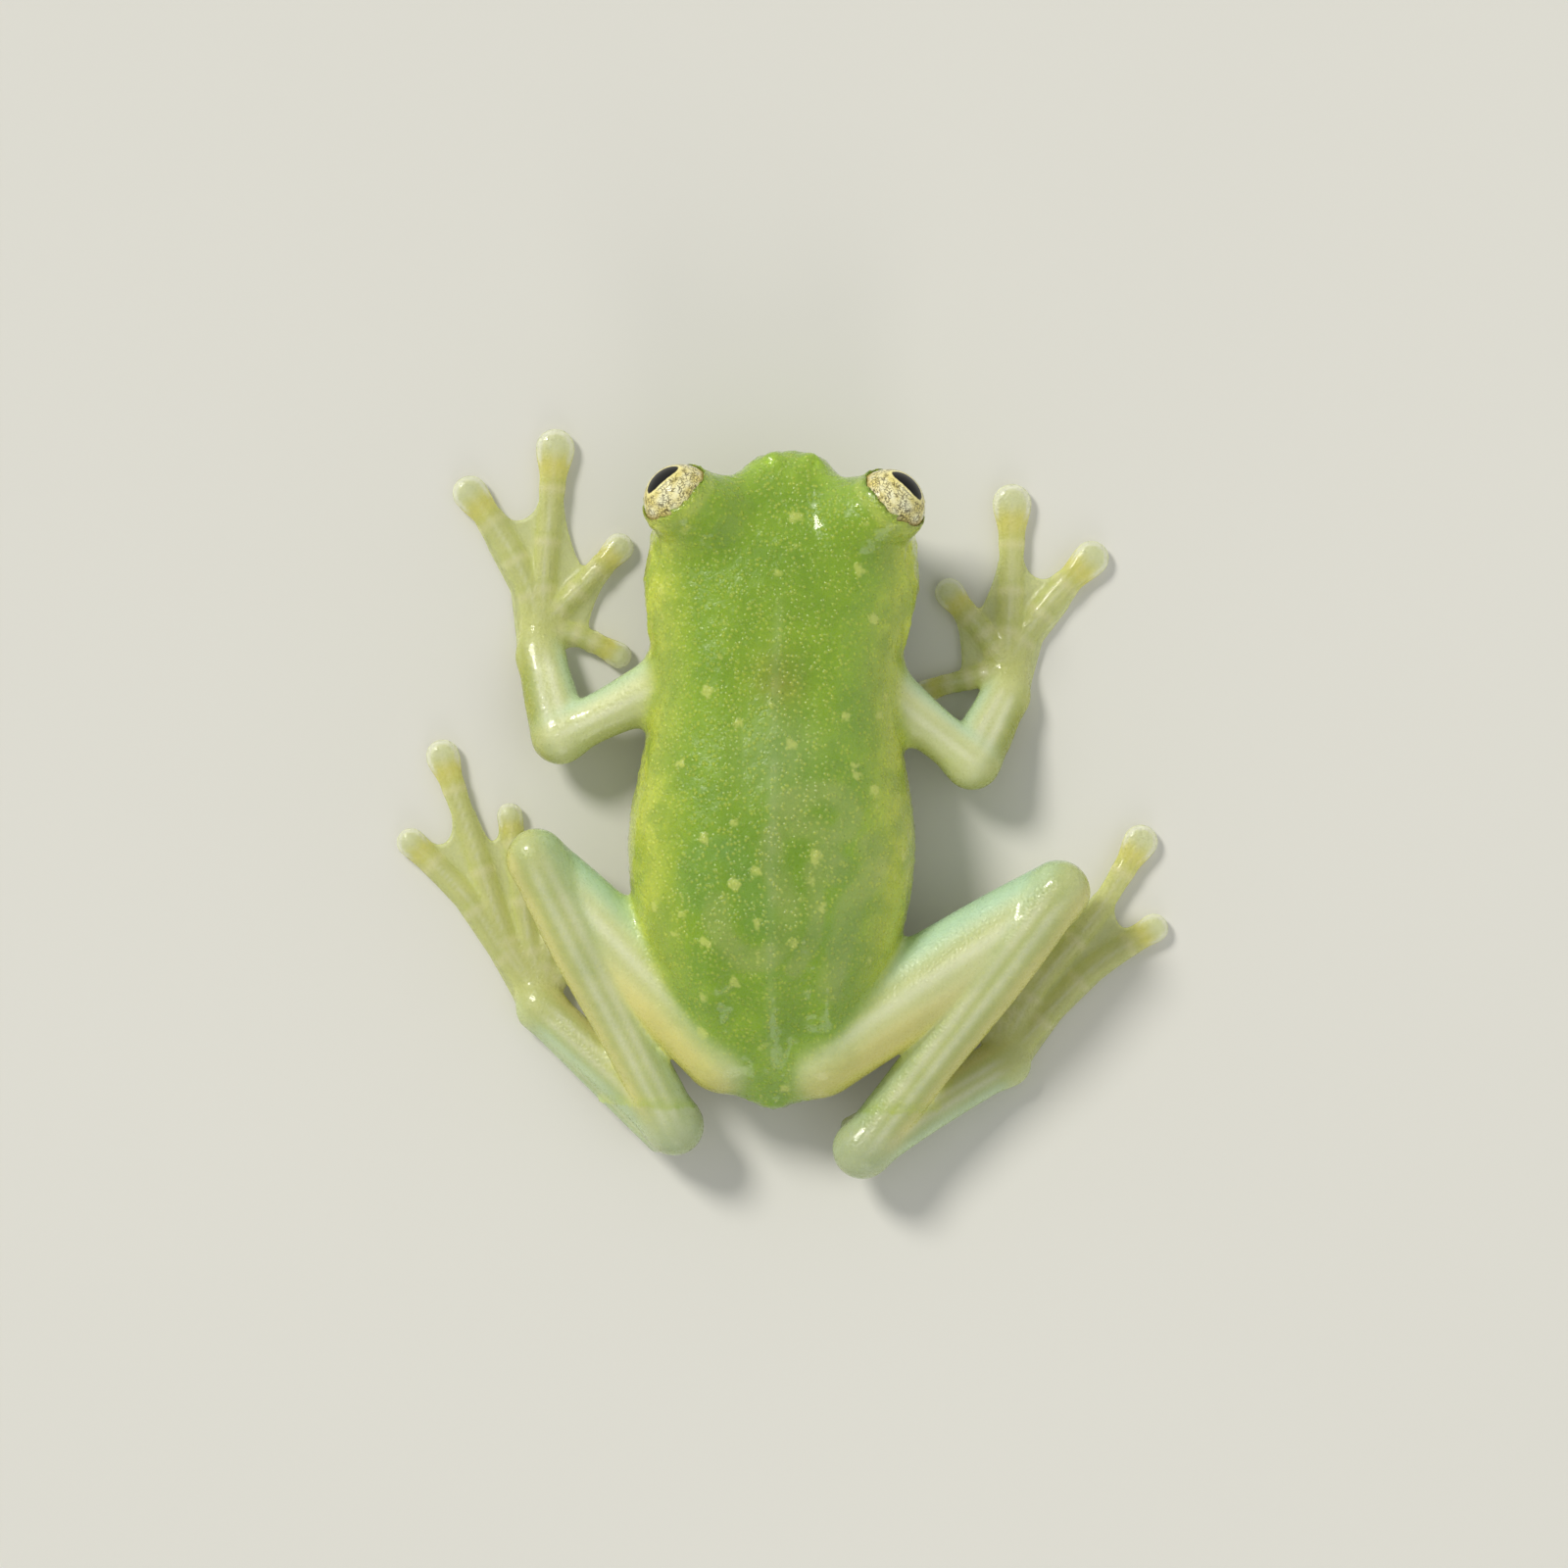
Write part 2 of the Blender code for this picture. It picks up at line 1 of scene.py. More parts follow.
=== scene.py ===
"""The looks of a life-size glass frog that lies flat with folded legs, seen from straight above.

One skin covers all the flesh. It is the zero level of a distance that is worked out from rounded forms:
the body's sections, straight limb segments, curved digits and thin webs, joined with fillets.
Two eyeballs sit in its sockets.

Frame: +X is the frog's left, +Y runs from the head to the vent, and +Z is up, as in the solids.
All sizes are in millimetres, and MM turns them into metres.
"""

import math

import bpy
import numpy as np
from mathutils import Matrix, Vector


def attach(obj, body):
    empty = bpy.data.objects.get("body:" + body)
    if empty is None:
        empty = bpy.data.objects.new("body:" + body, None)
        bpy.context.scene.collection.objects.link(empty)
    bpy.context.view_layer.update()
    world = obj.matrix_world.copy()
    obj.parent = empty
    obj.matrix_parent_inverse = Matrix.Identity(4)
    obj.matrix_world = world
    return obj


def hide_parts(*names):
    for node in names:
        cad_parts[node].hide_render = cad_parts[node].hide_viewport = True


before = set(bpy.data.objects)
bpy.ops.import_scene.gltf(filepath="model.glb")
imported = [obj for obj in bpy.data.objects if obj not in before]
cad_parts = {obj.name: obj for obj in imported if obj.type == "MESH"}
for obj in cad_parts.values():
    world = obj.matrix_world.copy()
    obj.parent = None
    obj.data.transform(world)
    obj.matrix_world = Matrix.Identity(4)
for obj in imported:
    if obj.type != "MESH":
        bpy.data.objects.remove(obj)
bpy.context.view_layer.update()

MM = 0.001
SIDES = {"right": -1, "left": 1}

# The body's lines, from the snout to the vent: place along the body, half width, top, underside and the
# height at which it is widest
BODY_LINES = (
    (-16.37, 0.80, 3.70, 2.65, 3.20),
    (-16.10, 1.32, 4.10, 2.25, 3.15),
    (-15.50, 1.98, 4.50, 1.85, 3.05),
    (-14.70, 3.30, 4.85, 1.50, 2.95),
    (-13.60, 4.78, 5.25, 1.10, 2.85),
    (-12.30, 5.10, 5.60, 0.82, 2.75),
    (-11.00, 5.20, 5.85, 0.66, 2.70),
    (-9.80, 4.96, 6.00, 0.52, 2.70),
    (-8.70, 4.74, 6.05, 0.40, 2.75),
    (-7.40, 4.55, 6.12, 0.20, 2.75),
    (-6.00, 4.75, 6.28, -0.02, 2.70),
    (-4.30, 5.08, 6.46, -0.12, 2.60),
    (-2.30, 5.42, 6.62, -0.15, 2.55),
    (-0.60, 5.44, 6.68, -0.15, 2.55),
    (1.30, 5.15, 6.62, -0.12, 2.60),
    (3.00, 4.60, 6.30, -0.08, 2.65),
    (4.60, 3.90, 5.70, 0.00, 2.70),
    (6.10, 3.05, 4.90, 0.20, 2.65),
    (7.40, 2.10, 4.05, 0.62, 2.55),
    (8.20, 1.25, 3.40, 1.15, 2.40),
    (8.63, 0.55, 2.85, 1.70, 2.30),
)
MIDDLE_LINE = (
    (-16.4, -0.16), (-15.0, -0.02), (-11.6, 0.08), (-8.8, 0.20), (-1.0, 0.22), (3.5, 0.14), (8.7, -0.08),
)
FLANK_POWER = 2 / 0.92
BACK_POWER = 2 / 0.80
BELLY_POWER = 2 / 0.62
END_ROUNDING = 0.45
END_MARGIN = 0.05

# The eyes, the raised orbits round them, and the nostrils, on each side of a line a little to the frog's left
EYE_RADIUS = 1.40
EYE_CENTRE = (3.90, -14.30, 4.85)
EYE_SHIFT = 0.05
ORBIT_RADIUS = 1.70
ORBIT_CENTRE = (3.10, -13.75, 4.35)
NOSTRIL_RADIUS = 0.38
NOSTRIL_CENTRE = (0.66, -15.86, 3.74)
NOSTRIL_SHIFT = -0.20
NOSTRIL_PIT_OUT = 0.17
NOSTRIL_PIT = (-15.88, 4.05)
GAZE_TURN = math.radians(42)
GAZE_RISE = math.radians(34)
LID_RADIUS = 1.51
LID_OPENING = (1.36, 1.25)
LID_DEPTH = 0.30

# Joint places of each side
ARM_JOINTS = {
    "right": {"shoulder": (-3.30, -7.75, 2.75), "elbow": (-7.36, -4.80, 1.75), "wrist": (-8.62, -7.35, 0.66)},
    "left": {"shoulder": (3.75, -7.75, 2.75), "elbow": (8.42, -5.40, 1.75), "wrist": (9.28, -8.45, 0.66)},
}
LEG_JOINTS = {
    "right": {
        "hip": (-1.80, 6.40, 2.85),
        "knee": (-10.72, 0.12, 2.75),
        "heel": (-3.52, 10.12, 2.10),
        "ankle": (-8.98, 6.75, 0.68),
    },
    "left": {
        "hip": (1.90, 6.50, 2.85),
        "knee": (9.15, -0.68, 2.75),
        "heel": (3.70, 9.40, 2.10),
        "ankle": (8.95, 5.00, 0.68),
    },
}
SHANK_RISE = 0.62

# Limb profiles: share of the length, half width in plan, half height
UPPER_ARM = ((0.0, 1.35, 1.30), (0.35, 1.08, 1.08), (0.7, 0.92, 0.95), (1.0, 1.02, 0.98))
FOREARM = ((0.0, 1.02, 0.98), (0.35, 1.06, 0.95), (0.75, 0.96, 0.76), (1.0, 0.88, 0.62))
THIGH = ((0.0, 1.75, 1.80), (0.4, 1.74, 1.60), (0.75, 1.50, 1.34), (1.0, 1.22, 1.02))
THIGH_FULLNESS = {"right": 1.0, "left": 0.90}
SHANK = ((0.0, 1.10, 0.96), (0.3, 1.18, 1.14), (0.7, 1.02, 1.00), (1.0, 1.04, 0.98))
TARSUS = ((0.0, 1.04, 0.98), (0.4, 0.88, 0.80), (0.8, 0.84, 0.68), (1.0, 0.88, 0.60))

# The fold of skin along the outer edge of the tarsus: how far out it starts and ends, its heights and its
# profile
TARSUS_FOLD_OUT = (1.02, 0.72)
TARSUS_FOLD_HEIGHTS = (1.55, 0.55)
TARSUS_FOLD = ((0.0, 0.30, 0.34), (0.6, 0.28, 0.24), (1.0, 0.24, 0.22))

# Digits, as plan points from the root to the tip, with the half widths of the shaft and of the disc
FINGERS = {
    "right": (
        (((-8.30, -8.30), (-7.25, -7.95), (-6.15, -7.66), (-5.05, -7.17)), 0.36, 0.47),
        (((-8.50, -8.70), (-7.75, -9.75), (-6.90, -10.65), (-6.02, -11.68)), 0.41, 0.57),
        (((-8.62, -8.70), (-8.72, -10.30), (-8.74, -12.40), (-8.70, -15.50)), 0.47, 0.75),
        (((-8.76, -8.70), (-9.50, -9.95), (-10.45, -11.25), (-12.28, -13.20)), 0.50, 0.68),
    ),
    "left": (
        (((9.05, -9.45), (8.10, -9.32), (7.10, -8.95), (5.85, -8.30)), 0.38, 0.50),
        (((9.12, -9.75), (8.20, -10.70), (7.25, -11.72), (6.00, -13.10)), 0.42, 0.56),
        (((9.24, -9.75), (9.22, -11.50), (9.06, -13.90), (8.88, -17.20)), 0.47, 0.75),
        (((9.36, -9.75), (9.95, -11.35), (10.85, -12.95), (12.58, -15.18)), 0.50, 0.68),
    ),
}
TOES = {
    "right": (
        (((-8.60, 6.00), (-8.05, 5.30), (-7.50, 4.70), (-6.86, 4.00)), 0.29, 0.38),
        (((-8.66, 6.00), (-8.68, 4.70), (-8.62, 3.20), (-8.50, 1.85)), 0.30, 0.38),
        (((-8.78, 6.00), (-9.40, 4.20), (-10.20, 2.30), (-10.88, -0.10)), 0.35, 0.47),
        (((-8.95, 6.00), (-10.20, 3.70), (-12.28, 1.02), (-14.30, -2.42)), 0.43, 0.66),
        (((-9.35, 6.25), (-10.82, 4.52), (-12.40, 2.92), (-15.02, 1.16)), 0.43, 0.56),
    ),
    "left": (
        (((8.72, 4.30), (8.12, 3.75), (7.45, 3.10), (6.58, 2.22)), 0.30, 0.40),
        (((8.80, 4.30), (8.72, 3.10), (8.58, 1.60), (8.36, -0.05)), 0.32, 0.42),
        (((8.92, 4.30), (9.45, 2.50), (9.88, 0.30), (10.42, -2.75)), 0.37, 0.50),
        (((9.10, 4.30), (10.35, 2.45), (11.50, -0.60), (13.20, -5.10)), 0.43, 0.65),
        (((9.30, 4.30), (10.70, 2.60), (12.00, 0.80), (14.52, -1.52)), 0.43, 0.56),
    ),
}

# The deepest points of the webs' edges, between each digit and the next
HAND_WEBS = {
    "right": ((-6.91, -8.86), (-7.59, -10.64), (-9.80, -11.90)),
    "left": ((7.40, -10.10), (7.89, -12.08), (10.25, -13.65)),
}
FOOT_WEBS = {
    "right": ((-7.89, 4.11), (-9.31, 2.69), (-11.44, 0.92), (-13.28, 1.40)),
    "left": ((7.60, 2.42), (9.07, 0.65), (11.04, -1.30), (12.79, -1.19)),
}
DIGIT_ROOT_WIDTH = 0.46
DIGIT_ROOT_HEIGHT = 0.52
DIGIT_HEIGHT = 0.39
DISC_HEIGHT = 0.35
DISC_SPREAD = 1.15
DIGIT_LIFT = 0.30
KNUCKLE_SWELL = 0.035
KNUCKLE_SPREAD = 0.28
PAST_WEB = 0.45
WEB_HALF_THICKNESS = 0.15
WEB_MIDDLE = 0.17
WEB_EDGE_STEPS = 8
OUTER_SHARES = (0.33, 0.66)
HAND_MARGIN = 0.22
FOOT_MARGIN = 0.12

# How widely each kind of join is filleted
FILLETS = {
    "orbit": 0.75,
    "nostril": 0.35,
    "lid": 0.22,
    "upper_arm": 0.75,
    "forearm": 0.40,
    "thigh": 0.55,
    "fold": 0.07,
    "knee": 0.55,
    "pad": 0.40,
    "tarsus_fold": 0.30,
    "digit": 0.24,
    "web": 0.28,
}

# The grid that the skin is drawn from, in stretches of even steps: start, end, step
SKIN_X = ((-15.9, -5.6, 0.144), (-5.6, 5.7, 0.124), (5.7, 15.5, 0.144))
SKIN_Y = ((-17.9, -12.4, 0.114), (-12.4, 11.9, 0.150))
SKIN_Z = ((-0.35, 0.95, 0.108), (0.95, 7.3, 0.134))
FAR = 2.0
REACH = 1.0


# Plain tools of shape


def join(a, b, fillet):
    """The smaller of two distances, with the corner between them filled over the width of the fillet."""
    overlap = np.maximum(fillet - np.abs(a - b), 0.0) / fillet
    return np.minimum(a, b) - overlap * overlap * fillet * 0.25


def carve(a, b, fillet):
    """The larger of two distances, with the edge between them rounded over the width of the fillet."""
    return -join(-a, -b, fillet)


def ease(low, high, value):
    """Rises from 0 at low to 1 at high, level at both ends: three squares less two cubes of the share."""
    share = np.clip((value - low) / (high - low), 0.0, 1.0)
    return share * share * (3.0 - 2.0 * share)


def eased(rows, place):
    """Reads a table by its first column, along a cubic through each row with the slope between its
    neighbours."""
    rows = np.asarray(rows, float)
    keys = rows[:, 0]
    place = np.clip(place, keys[0], keys[-1])
    last = len(rows) - 1
    i = np.clip(np.searchsorted(keys, place, side="right") - 1, 0, last - 1)
    before, here, there, after = (rows[np.clip(i + k, 0, last)] for k in (-1, 0, 1, 2))
    span = (there - here)[..., :1]
    t = (place[..., None] - here[..., :1]) / span
    slope_here = (there - before) / np.maximum((there - before)[..., :1], 1e-6)
    slope_there = (after - here) / np.maximum((after - here)[..., :1], 1e-6)
    read = (
        (2 * t**3 - 3 * t**2 + 1) * here
        + (t**3 - 2 * t**2 + t) * span * slope_here
        + (3 * t**2 - 2 * t**3) * there
        + (t**3 - t**2) * span * slope_there
    )
    return tuple(read[..., column] for column in range(1, rows.shape[1]))


def hill(x, y, centre, size):
    """A round bump in plan: one at its centre, falling off as the bell curve of the distance over the
    size."""
    return np.exp(-(((x - centre[0]) / size[0]) ** 2) - ((y - centre[1]) / size[1]) ** 2)


def knoll(x, y, z, centre, size):
    """A round bump in space, falling off as the bell curve of the distance over the size."""
    return hill(x, y, centre, size) * np.exp(-(((z - centre[2]) / size[2]) ** 2))


class PlanCurve:
    """A smooth curve in plan through a few points, cut into short straight steps."""

    def __init__(self, points, steps=28, stop=1.0):
        rows = [(i / (len(points) - 1), *point) for i, point in enumerate(points)]
        self.share = np.linspace(0.0, stop, steps + 1)
        self.place = np.stack(eased(rows, self.share), axis=-1)
        lengths = np.hypot(*np.diff(self.place, axis=0).T)
        self.run = np.concatenate(([0.0], np.cumsum(lengths)))
        self.length = self.run[-1]

    def nearest(self, x, y):
        """The distance in plan to the curve, the run along it at the nearest place, and which side that is
        on."""
        best = np.full(np.broadcast_shapes(x.shape, y.shape), 1e9)
        run = np.zeros_like(best)
        side = np.ones_like(best)
        for i in range(len(self.share) - 1):
            start, step = self.place[i], self.place[i + 1] - self.place[i]
            dx, dy = x - start[0], y - start[1]
            t = np.clip((dx * step[0] + dy * step[1]) / (step @ step), 0.0, 1.0)
            away = np.hypot(dx - t * step[0], dy - t * step[1])
            closer = away < best
            best = np.where(closer, away, best)
            run = np.where(closer, self.run[i] + t * (self.run[i + 1] - self.run[i]), run)
            side = np.where(closer, np.sign(step[0] * dy - step[1] * dx), side)
        return best, run, side

    def at(self, share):
        """The plan point at a share of the curve."""
        return np.array([np.interp(share, self.share, self.place[:, axis]) for axis in (0, 1)])

    def heading(self, share):
        """The direction in plan in which the curve runs at a share of it."""
        ahead = self.at(min(share + 0.02, self.share[-1])) - self.at(max(share - 0.02, 0.0))
        return ahead / np.hypot(*ahead)

    def share_beside(self, point):
        """The share of the curve that is nearest to a plan point."""
        return self.share[np.argmin(np.hypot(*(self.place - np.array(point)).T))]


class Form:
    """One rounded form of the flesh: its box, how it joins what is there already, and what kind of skin it
    has."""

    def __init__(self, kind, measure, low, high, fillet, side=None, number=0, facts=None):
        self.kind, self.measure, self.fillet = kind, measure, fillet
        self.low, self.high = np.array(low) - REACH, np.array(high) + REACH
        self.side, self.number, self.facts = side, number, facts or {}


class Places:
    """Where distances are worked out: the crossings of three axes, or a list of single points."""

    def __init__(self, x, y, z, crossing):
        self.axes, self.crossing = (x, y, z), crossing
        shape = (len(x), len(y), len(z)) if crossing else (len(x),)
        self.distance = np.full(shape, FAR)

    def near(self, low, high):
        """Which places are in a box, and their coordinates, ready to be broadcast."""
        if self.crossing:
            spans = tuple(
                slice(*np.searchsorted(axis, (a, b))) for axis, a, b in zip(self.axes, low, high)
            )
            x, y, z = (axis[span] for axis, span in zip(self.axes, spans))
            return spans, x[:, None, None], y[None, :, None], z[None, None, :]
        inside = np.ones(len(self.axes[0]), bool)
        for axis, a, b in zip(self.axes, low, high):
            inside &= (axis > a) & (axis < b)
        chosen = np.flatnonzero(inside)
        return (chosen, *(axis[chosen] for axis in self.axes))


# The head and trunk


def spine_x(y):
    """Where the middle line lies: it bows a little to the frog's left along the trunk."""
    return eased(MIDDLE_LINE, y)[0]


def body_level(x, y, z):
    """One on the body's surface and less inside: the powers of the shares of half width and height,
    summed."""
    half_width, top, underside, widest = eased(BODY_LINES, y)
    rounding = end_rounding(y)
    rise = z - widest
    height = np.where(rise > 0, top - widest, widest - underside) * rounding
    half_width = half_width * rounding
    power = np.where(rise > 0, BACK_POWER, BELLY_POWER)
    across = np.abs(x - spine_x(y)) / half_width
    level = across**FLANK_POWER + (np.abs(rise) / height) ** power
    return np.maximum(level, 1e-6) ** (1 / FLANK_POWER)


def end_rounding(y):
    """One along the body, and falling to almost nothing at each end in a quarter of a circle."""
    from_end = np.minimum(y - BODY_LINES[0][0], BODY_LINES[-1][0] - y) + END_MARGIN
    share = np.clip(from_end / END_ROUNDING, 0.0, 1.0)
    return np.maximum(np.sqrt(1.0 - (1.0 - share) ** 2), 0.12)


def body_distance(level, x, y, z):
    """The level less one, over its steepness, and never less than the distance past the body's ends."""
    step = 0.03
    slopes = (
        body_level(x + step, y, z) - level,
        body_level(x, y + step, z) - level,
        body_level(x, y, z + step) - level,
    )
    steepness = np.sqrt(sum(slope**2 for slope in slopes)) / step
    section = (level - 1.0) / np.maximum(steepness, 0.12)
    past_end = np.maximum(BODY_LINES[0][0] - y, y - BODY_LINES[-1][0]) - END_MARGIN
    return np.maximum(section, past_end)


def paired(x):
    """Left and right alike: the distance from the middle line of the head."""
    return np.abs(x - EYE_SHIFT)


def body_relief(x, y, z):
    """Low swellings and folds of the head and back, in millimetres outwards."""
    u = paired(x)
    middle = np.abs(x - spine_x(y))
    upper = ease(3.0, 4.2, z)
    relief = 0.10 * knoll(u, y, z, (1.85, -15.15, 4.45), (0.55, 0.75, 0.6))
    relief = relief - 0.15 * knoll(u, y, z, (0.0, -14.4, 5.1), (1.2, 1.1, 0.9))
    relief = relief - 0.09 * knoll(u, y, z, (0.0, -16.0, 4.3), (0.5, 0.5, 0.5))
    relief = relief - 0.14 * knoll(u, y, z, (2.9, -15.75, 3.3), (0.7, 0.7, 0.5))
    relief = relief + 0.10 * knoll(u, y, z, (3.5, -11.9, 5.0), (1.3, 1.1, 0.9))
    relief = relief - 0.10 * hill(middle, y, (0.0, -9.7), (1.8, 0.9)) * upper
    relief = relief + 0.13 * hill(u, y, (2.75, -7.6), (1.05, 1.35)) * upper
    relief = relief - 0.10 * hill(middle, y, (1.15, -5.6), (0.5, 3.2)) * upper
    relief = relief + 0.05 * hill(middle, y, (0.0, -5.0), (0.35, 4.5)) * upper
    relief = relief + 0.16 * hill(middle, y, (1.30, 1.7), (0.65, 0.75)) * upper
    relief = relief + 0.10 * hill(middle, y, (0.0, 4.6), (0.42, 2.4)) * ease(2.4, 3.6, z)
    relief = relief - 0.16 * hill(middle, y, (1.35, 4.3), (0.65, 1.7)) * ease(2.4, 3.6, z)
    relief = relief + 0.14 * hill(middle, y, (2.25, 4.2), (0.55, 1.9)) * ease(2.4, 3.6, z)
    return relief


def fold_height(y):
    """The fold from the back of the eye over the eardrum to above the arm falls in an even curve."""
    share = np.clip((y + 13.1) / 3.9, 0.0, 1.0)
    return 4.75 - 1.55 * share**1.5


def mouth_height(y):
    """The mouth's line is lowest under the eye and rises a little to the snout and to its corner."""
    at_snout = np.clip((-14.6 - y) / 1.8, 0.0, 1.0) ** 2
    at_cheek = ease(-14.4, -12.0, y) * ease(-10.0, -11.6, y)
    return 2.32 + 0.30 * at_snout - 0.16 * at_cheek


MOUTH_CORNER = -11.15


def body_lines_relief(x, y, z):
    """The mouth's groove with a lip above it, the folds behind the eyes, and the eardrums, outwards."""
    u = paired(x)
    outer = ease(1.4, 2.4, u) + ease(-15.9, -16.2, y)
    outer = np.clip(outer, 0.0, 1.0)
    along = ease(MOUTH_CORNER + 0.15, MOUTH_CORNER - 0.25, y)
    from_mouth = z - mouth_height(y)
    relief = -0.15 * np.exp(-((from_mouth / 0.085) ** 2)) * along * outer
    relief = relief + 0.07 * np.exp(-(((from_mouth - 0.24) / 0.16) ** 2)) * along * outer
    relief = relief + 0.04 * np.exp(-(((from_mouth + 0.22) / 0.16) ** 2)) * along * outer
    behind = ease(-13.4, -12.9, y) * ease(-8.7, -9.5, y) * ease(2.6, 3.4, u)
    relief = relief + 0.12 * np.exp(-(((z - fold_height(y)) / 0.20) ** 2)) * behind
    relief = relief - 0.07 * np.exp(-(((z - fold_height(y) + 0.42) / 0.22) ** 2)) * behind
    drum = np.hypot(y + 11.95, z - 3.35) / 0.50
    outside = ease(3.8, 4.4, u)
    relief = relief + 0.06 * np.exp(-(((drum - 1.0) / 0.22) ** 2)) * outside
    return relief


def vent_relief(x, y, z):
    """The small lip over the vent, and the wrinkles beside it."""
    middle = np.abs(x - spine_x(y))
    lip = knoll(middle, y, z, (0.0, 8.5, 3.05), (0.42, 0.40, 0.26))
    pit = knoll(middle, y, z, (0.0, 8.75, 2.55), (0.20, 0.30, 0.20))
    wrinkles = np.cos(middle * 14.0) * knoll(middle, y, z, (0.0, 8.3, 2.5), (0.75, 0.5, 0.7))
    return 0.16 * lip - 0.16 * pit + 0.015 * wrinkles


def body_measure(x, y, z):
    """The distance to the body with its swellings and lines, the place along it, and the way off its
    middle."""
    level = body_level(x, y, z)
    relief = body_relief(x, y, z) + body_lines_relief(x, y, z) + vent_relief(x, y, z)
    distance = body_distance(level, x, y, z) - relief * ease(2.4, 1.5, level)
    across = (x - spine_x(y)) + 0.0 * y
    return distance, y + 0.0 * distance, across + 0.0 * distance


class EyePlace:
    """Where an eye is and looks: its centre, its axis, and the level and upward directions across it."""

    def __init__(self, sign):
        flat = math.cos(GAZE_RISE)
        self.centre = np.array((sign * EYE_CENTRE[0] + EYE_SHIFT, *EYE_CENTRE[1:]))
        outwards, forwards = sign * math.sin(GAZE_TURN) * flat, math.cos(GAZE_TURN) * flat
        self.axis = np.array((outwards, -forwards, math.sin(GAZE_RISE)))
        self.level = np.array((sign * math.cos(GAZE_TURN), math.sin(GAZE_TURN), 0.0))
        self.up = np.cross(self.axis, self.level) * sign
        self.up = self.up if self.up[2] > 0 else -self.up

    def split(self, x, y, z):
        """Coordinates along the axis, level and upwards, from the eye's centre."""
        dx, dy, dz = x - self.centre[0], y - self.centre[1], z - self.centre[2]
        return tuple(dx * d[0] + dy * d[1] + dz * d[2] for d in (self.axis, self.level, self.up))


EYES = {side: EyePlace(sign) for side, sign in SIDES.items()}


def ball_form(kind, centre, radius, fillet, side=None):
    """A ball: the length of the offset from its centre, less the radius."""

    def measure(x, y, z):
        """The distance, and nothing along or across."""
        distance = np.sqrt(sum((v - c) ** 2 for v, c in zip((x, y, z), centre))) - radius
        return distance, 0.0 * distance, 0.0 * distance

    return Form(kind, measure, np.array(centre) - radius, np.array(centre) + radius, fillet, side)


def lid_opening(eye, x, y, z):
    """Below nought in the opening of the lids: an oval tube along the eye's axis, from inside the eye
    outwards."""
    ahead, level, up = eye.split(x, y, z)
    tube = (np.hypot(level / LID_OPENING[0], up / LID_OPENING[1]) - 1.0) * min(LID_OPENING)
    beyond = np.sqrt(ahead**2 + level**2 + up**2) - LID_RADIUS - 0.35
    return np.maximum(np.maximum(tube, LID_DEPTH - ahead), beyond)


# Limbs, digits and webs


def limb_form(kind, start, end, profile, fillet, fullness=1.0, side=None, relief=None):
    """A straight segment with an elliptical section that follows its profile, and rounded ends."""
    start, end = np.array(start, float), np.array(end, float)
    length = np.linalg.norm(end - start)
    along = (end - start) / length
    across = np.array((-along[1], along[0], 0.0)) / np.hypot(along[0], along[1])
    up = np.cross(along, across)
    up = up if up[2] > 0 else -up
    rows = [(share, width * fullness, height * fullness) for share, width, height in profile]

    def measure(x, y, z):
        """The distance, the share along the limb and the share across it."""
        dx, dy, dz = x - start[0], y - start[1], z - start[2]
        run, sideways, rise = (dx * d[0] + dy * d[1] + dz * d[2] for d in (along, across, up))
        inner = np.clip(run, 0.0, length)
        width, height = eased(rows, inner / length)
        past = run - inner
        parts = ((sideways, width), (rise, height), (past, width))
        level = np.sqrt(sum((part / size) ** 2 for part, size in parts)) + 1e-9
        steepness = np.sqrt(sum((part / size**2) ** 2 for part, size in parts)) + 1e-9
        distance = level * (level - 1.0) / steepness
        if relief:
            distance = distance - relief(run / length, sideways / width, rise / height)
        return distance, run / length + 0.0 * distance, sideways / width

    thick = max(max(row[1:]) for row in rows)
    low, high = np.minimum(start, end) - thick, np.maximum(start, end) + thick
    facts = {"length": length, "across": across}
    return Form(kind, measure, low, high, fillet, side, facts=facts)


def thigh_relief(share, across, rise):
    """A groove between the two long muscles on top of the thigh, and a swelling above the knee."""
    groove = np.exp(-(((across - 0.25) / 0.16) ** 2)) * ease(0.12, 0.4, share) * ease(0.95, 0.6, share)
    return -0.06 * groove * ease(0.1, 0.6, rise)


def shank_relief(share, across, rise):
    """The calf's two muscle bellies, with the bone's line between them."""
    groove = np.exp(-((across / 0.14) ** 2)) * ease(0.05, 0.25, share) * ease(0.95, 0.7, share)
    belly = np.exp(-(((share - 0.32) / 0.22) ** 2)) * np.exp(-(((np.abs(across) - 0.6) / 0.35) ** 2))
    return ease(0.0, 0.5, rise) * (0.05 * belly - 0.06 * groove)


def forearm_relief(share, across, rise):
    """A shallow line along the forearm, between its two bones."""
    groove = np.exp(-((across / 0.16) ** 2)) * ease(0.1, 0.3, share) * ease(1.0, 0.75, share)
    return -0.05 * groove * ease(0.0, 0.6, rise)


def digit_curve(digit):
    """A digit's line from its root to the middle of its disc."""
    points, _, disc = digit
    whole = PlanCurve(points)
    stop = np.interp(whole.length - disc, whole.run, whole.share)
    return PlanCurve(points, stop=stop), whole


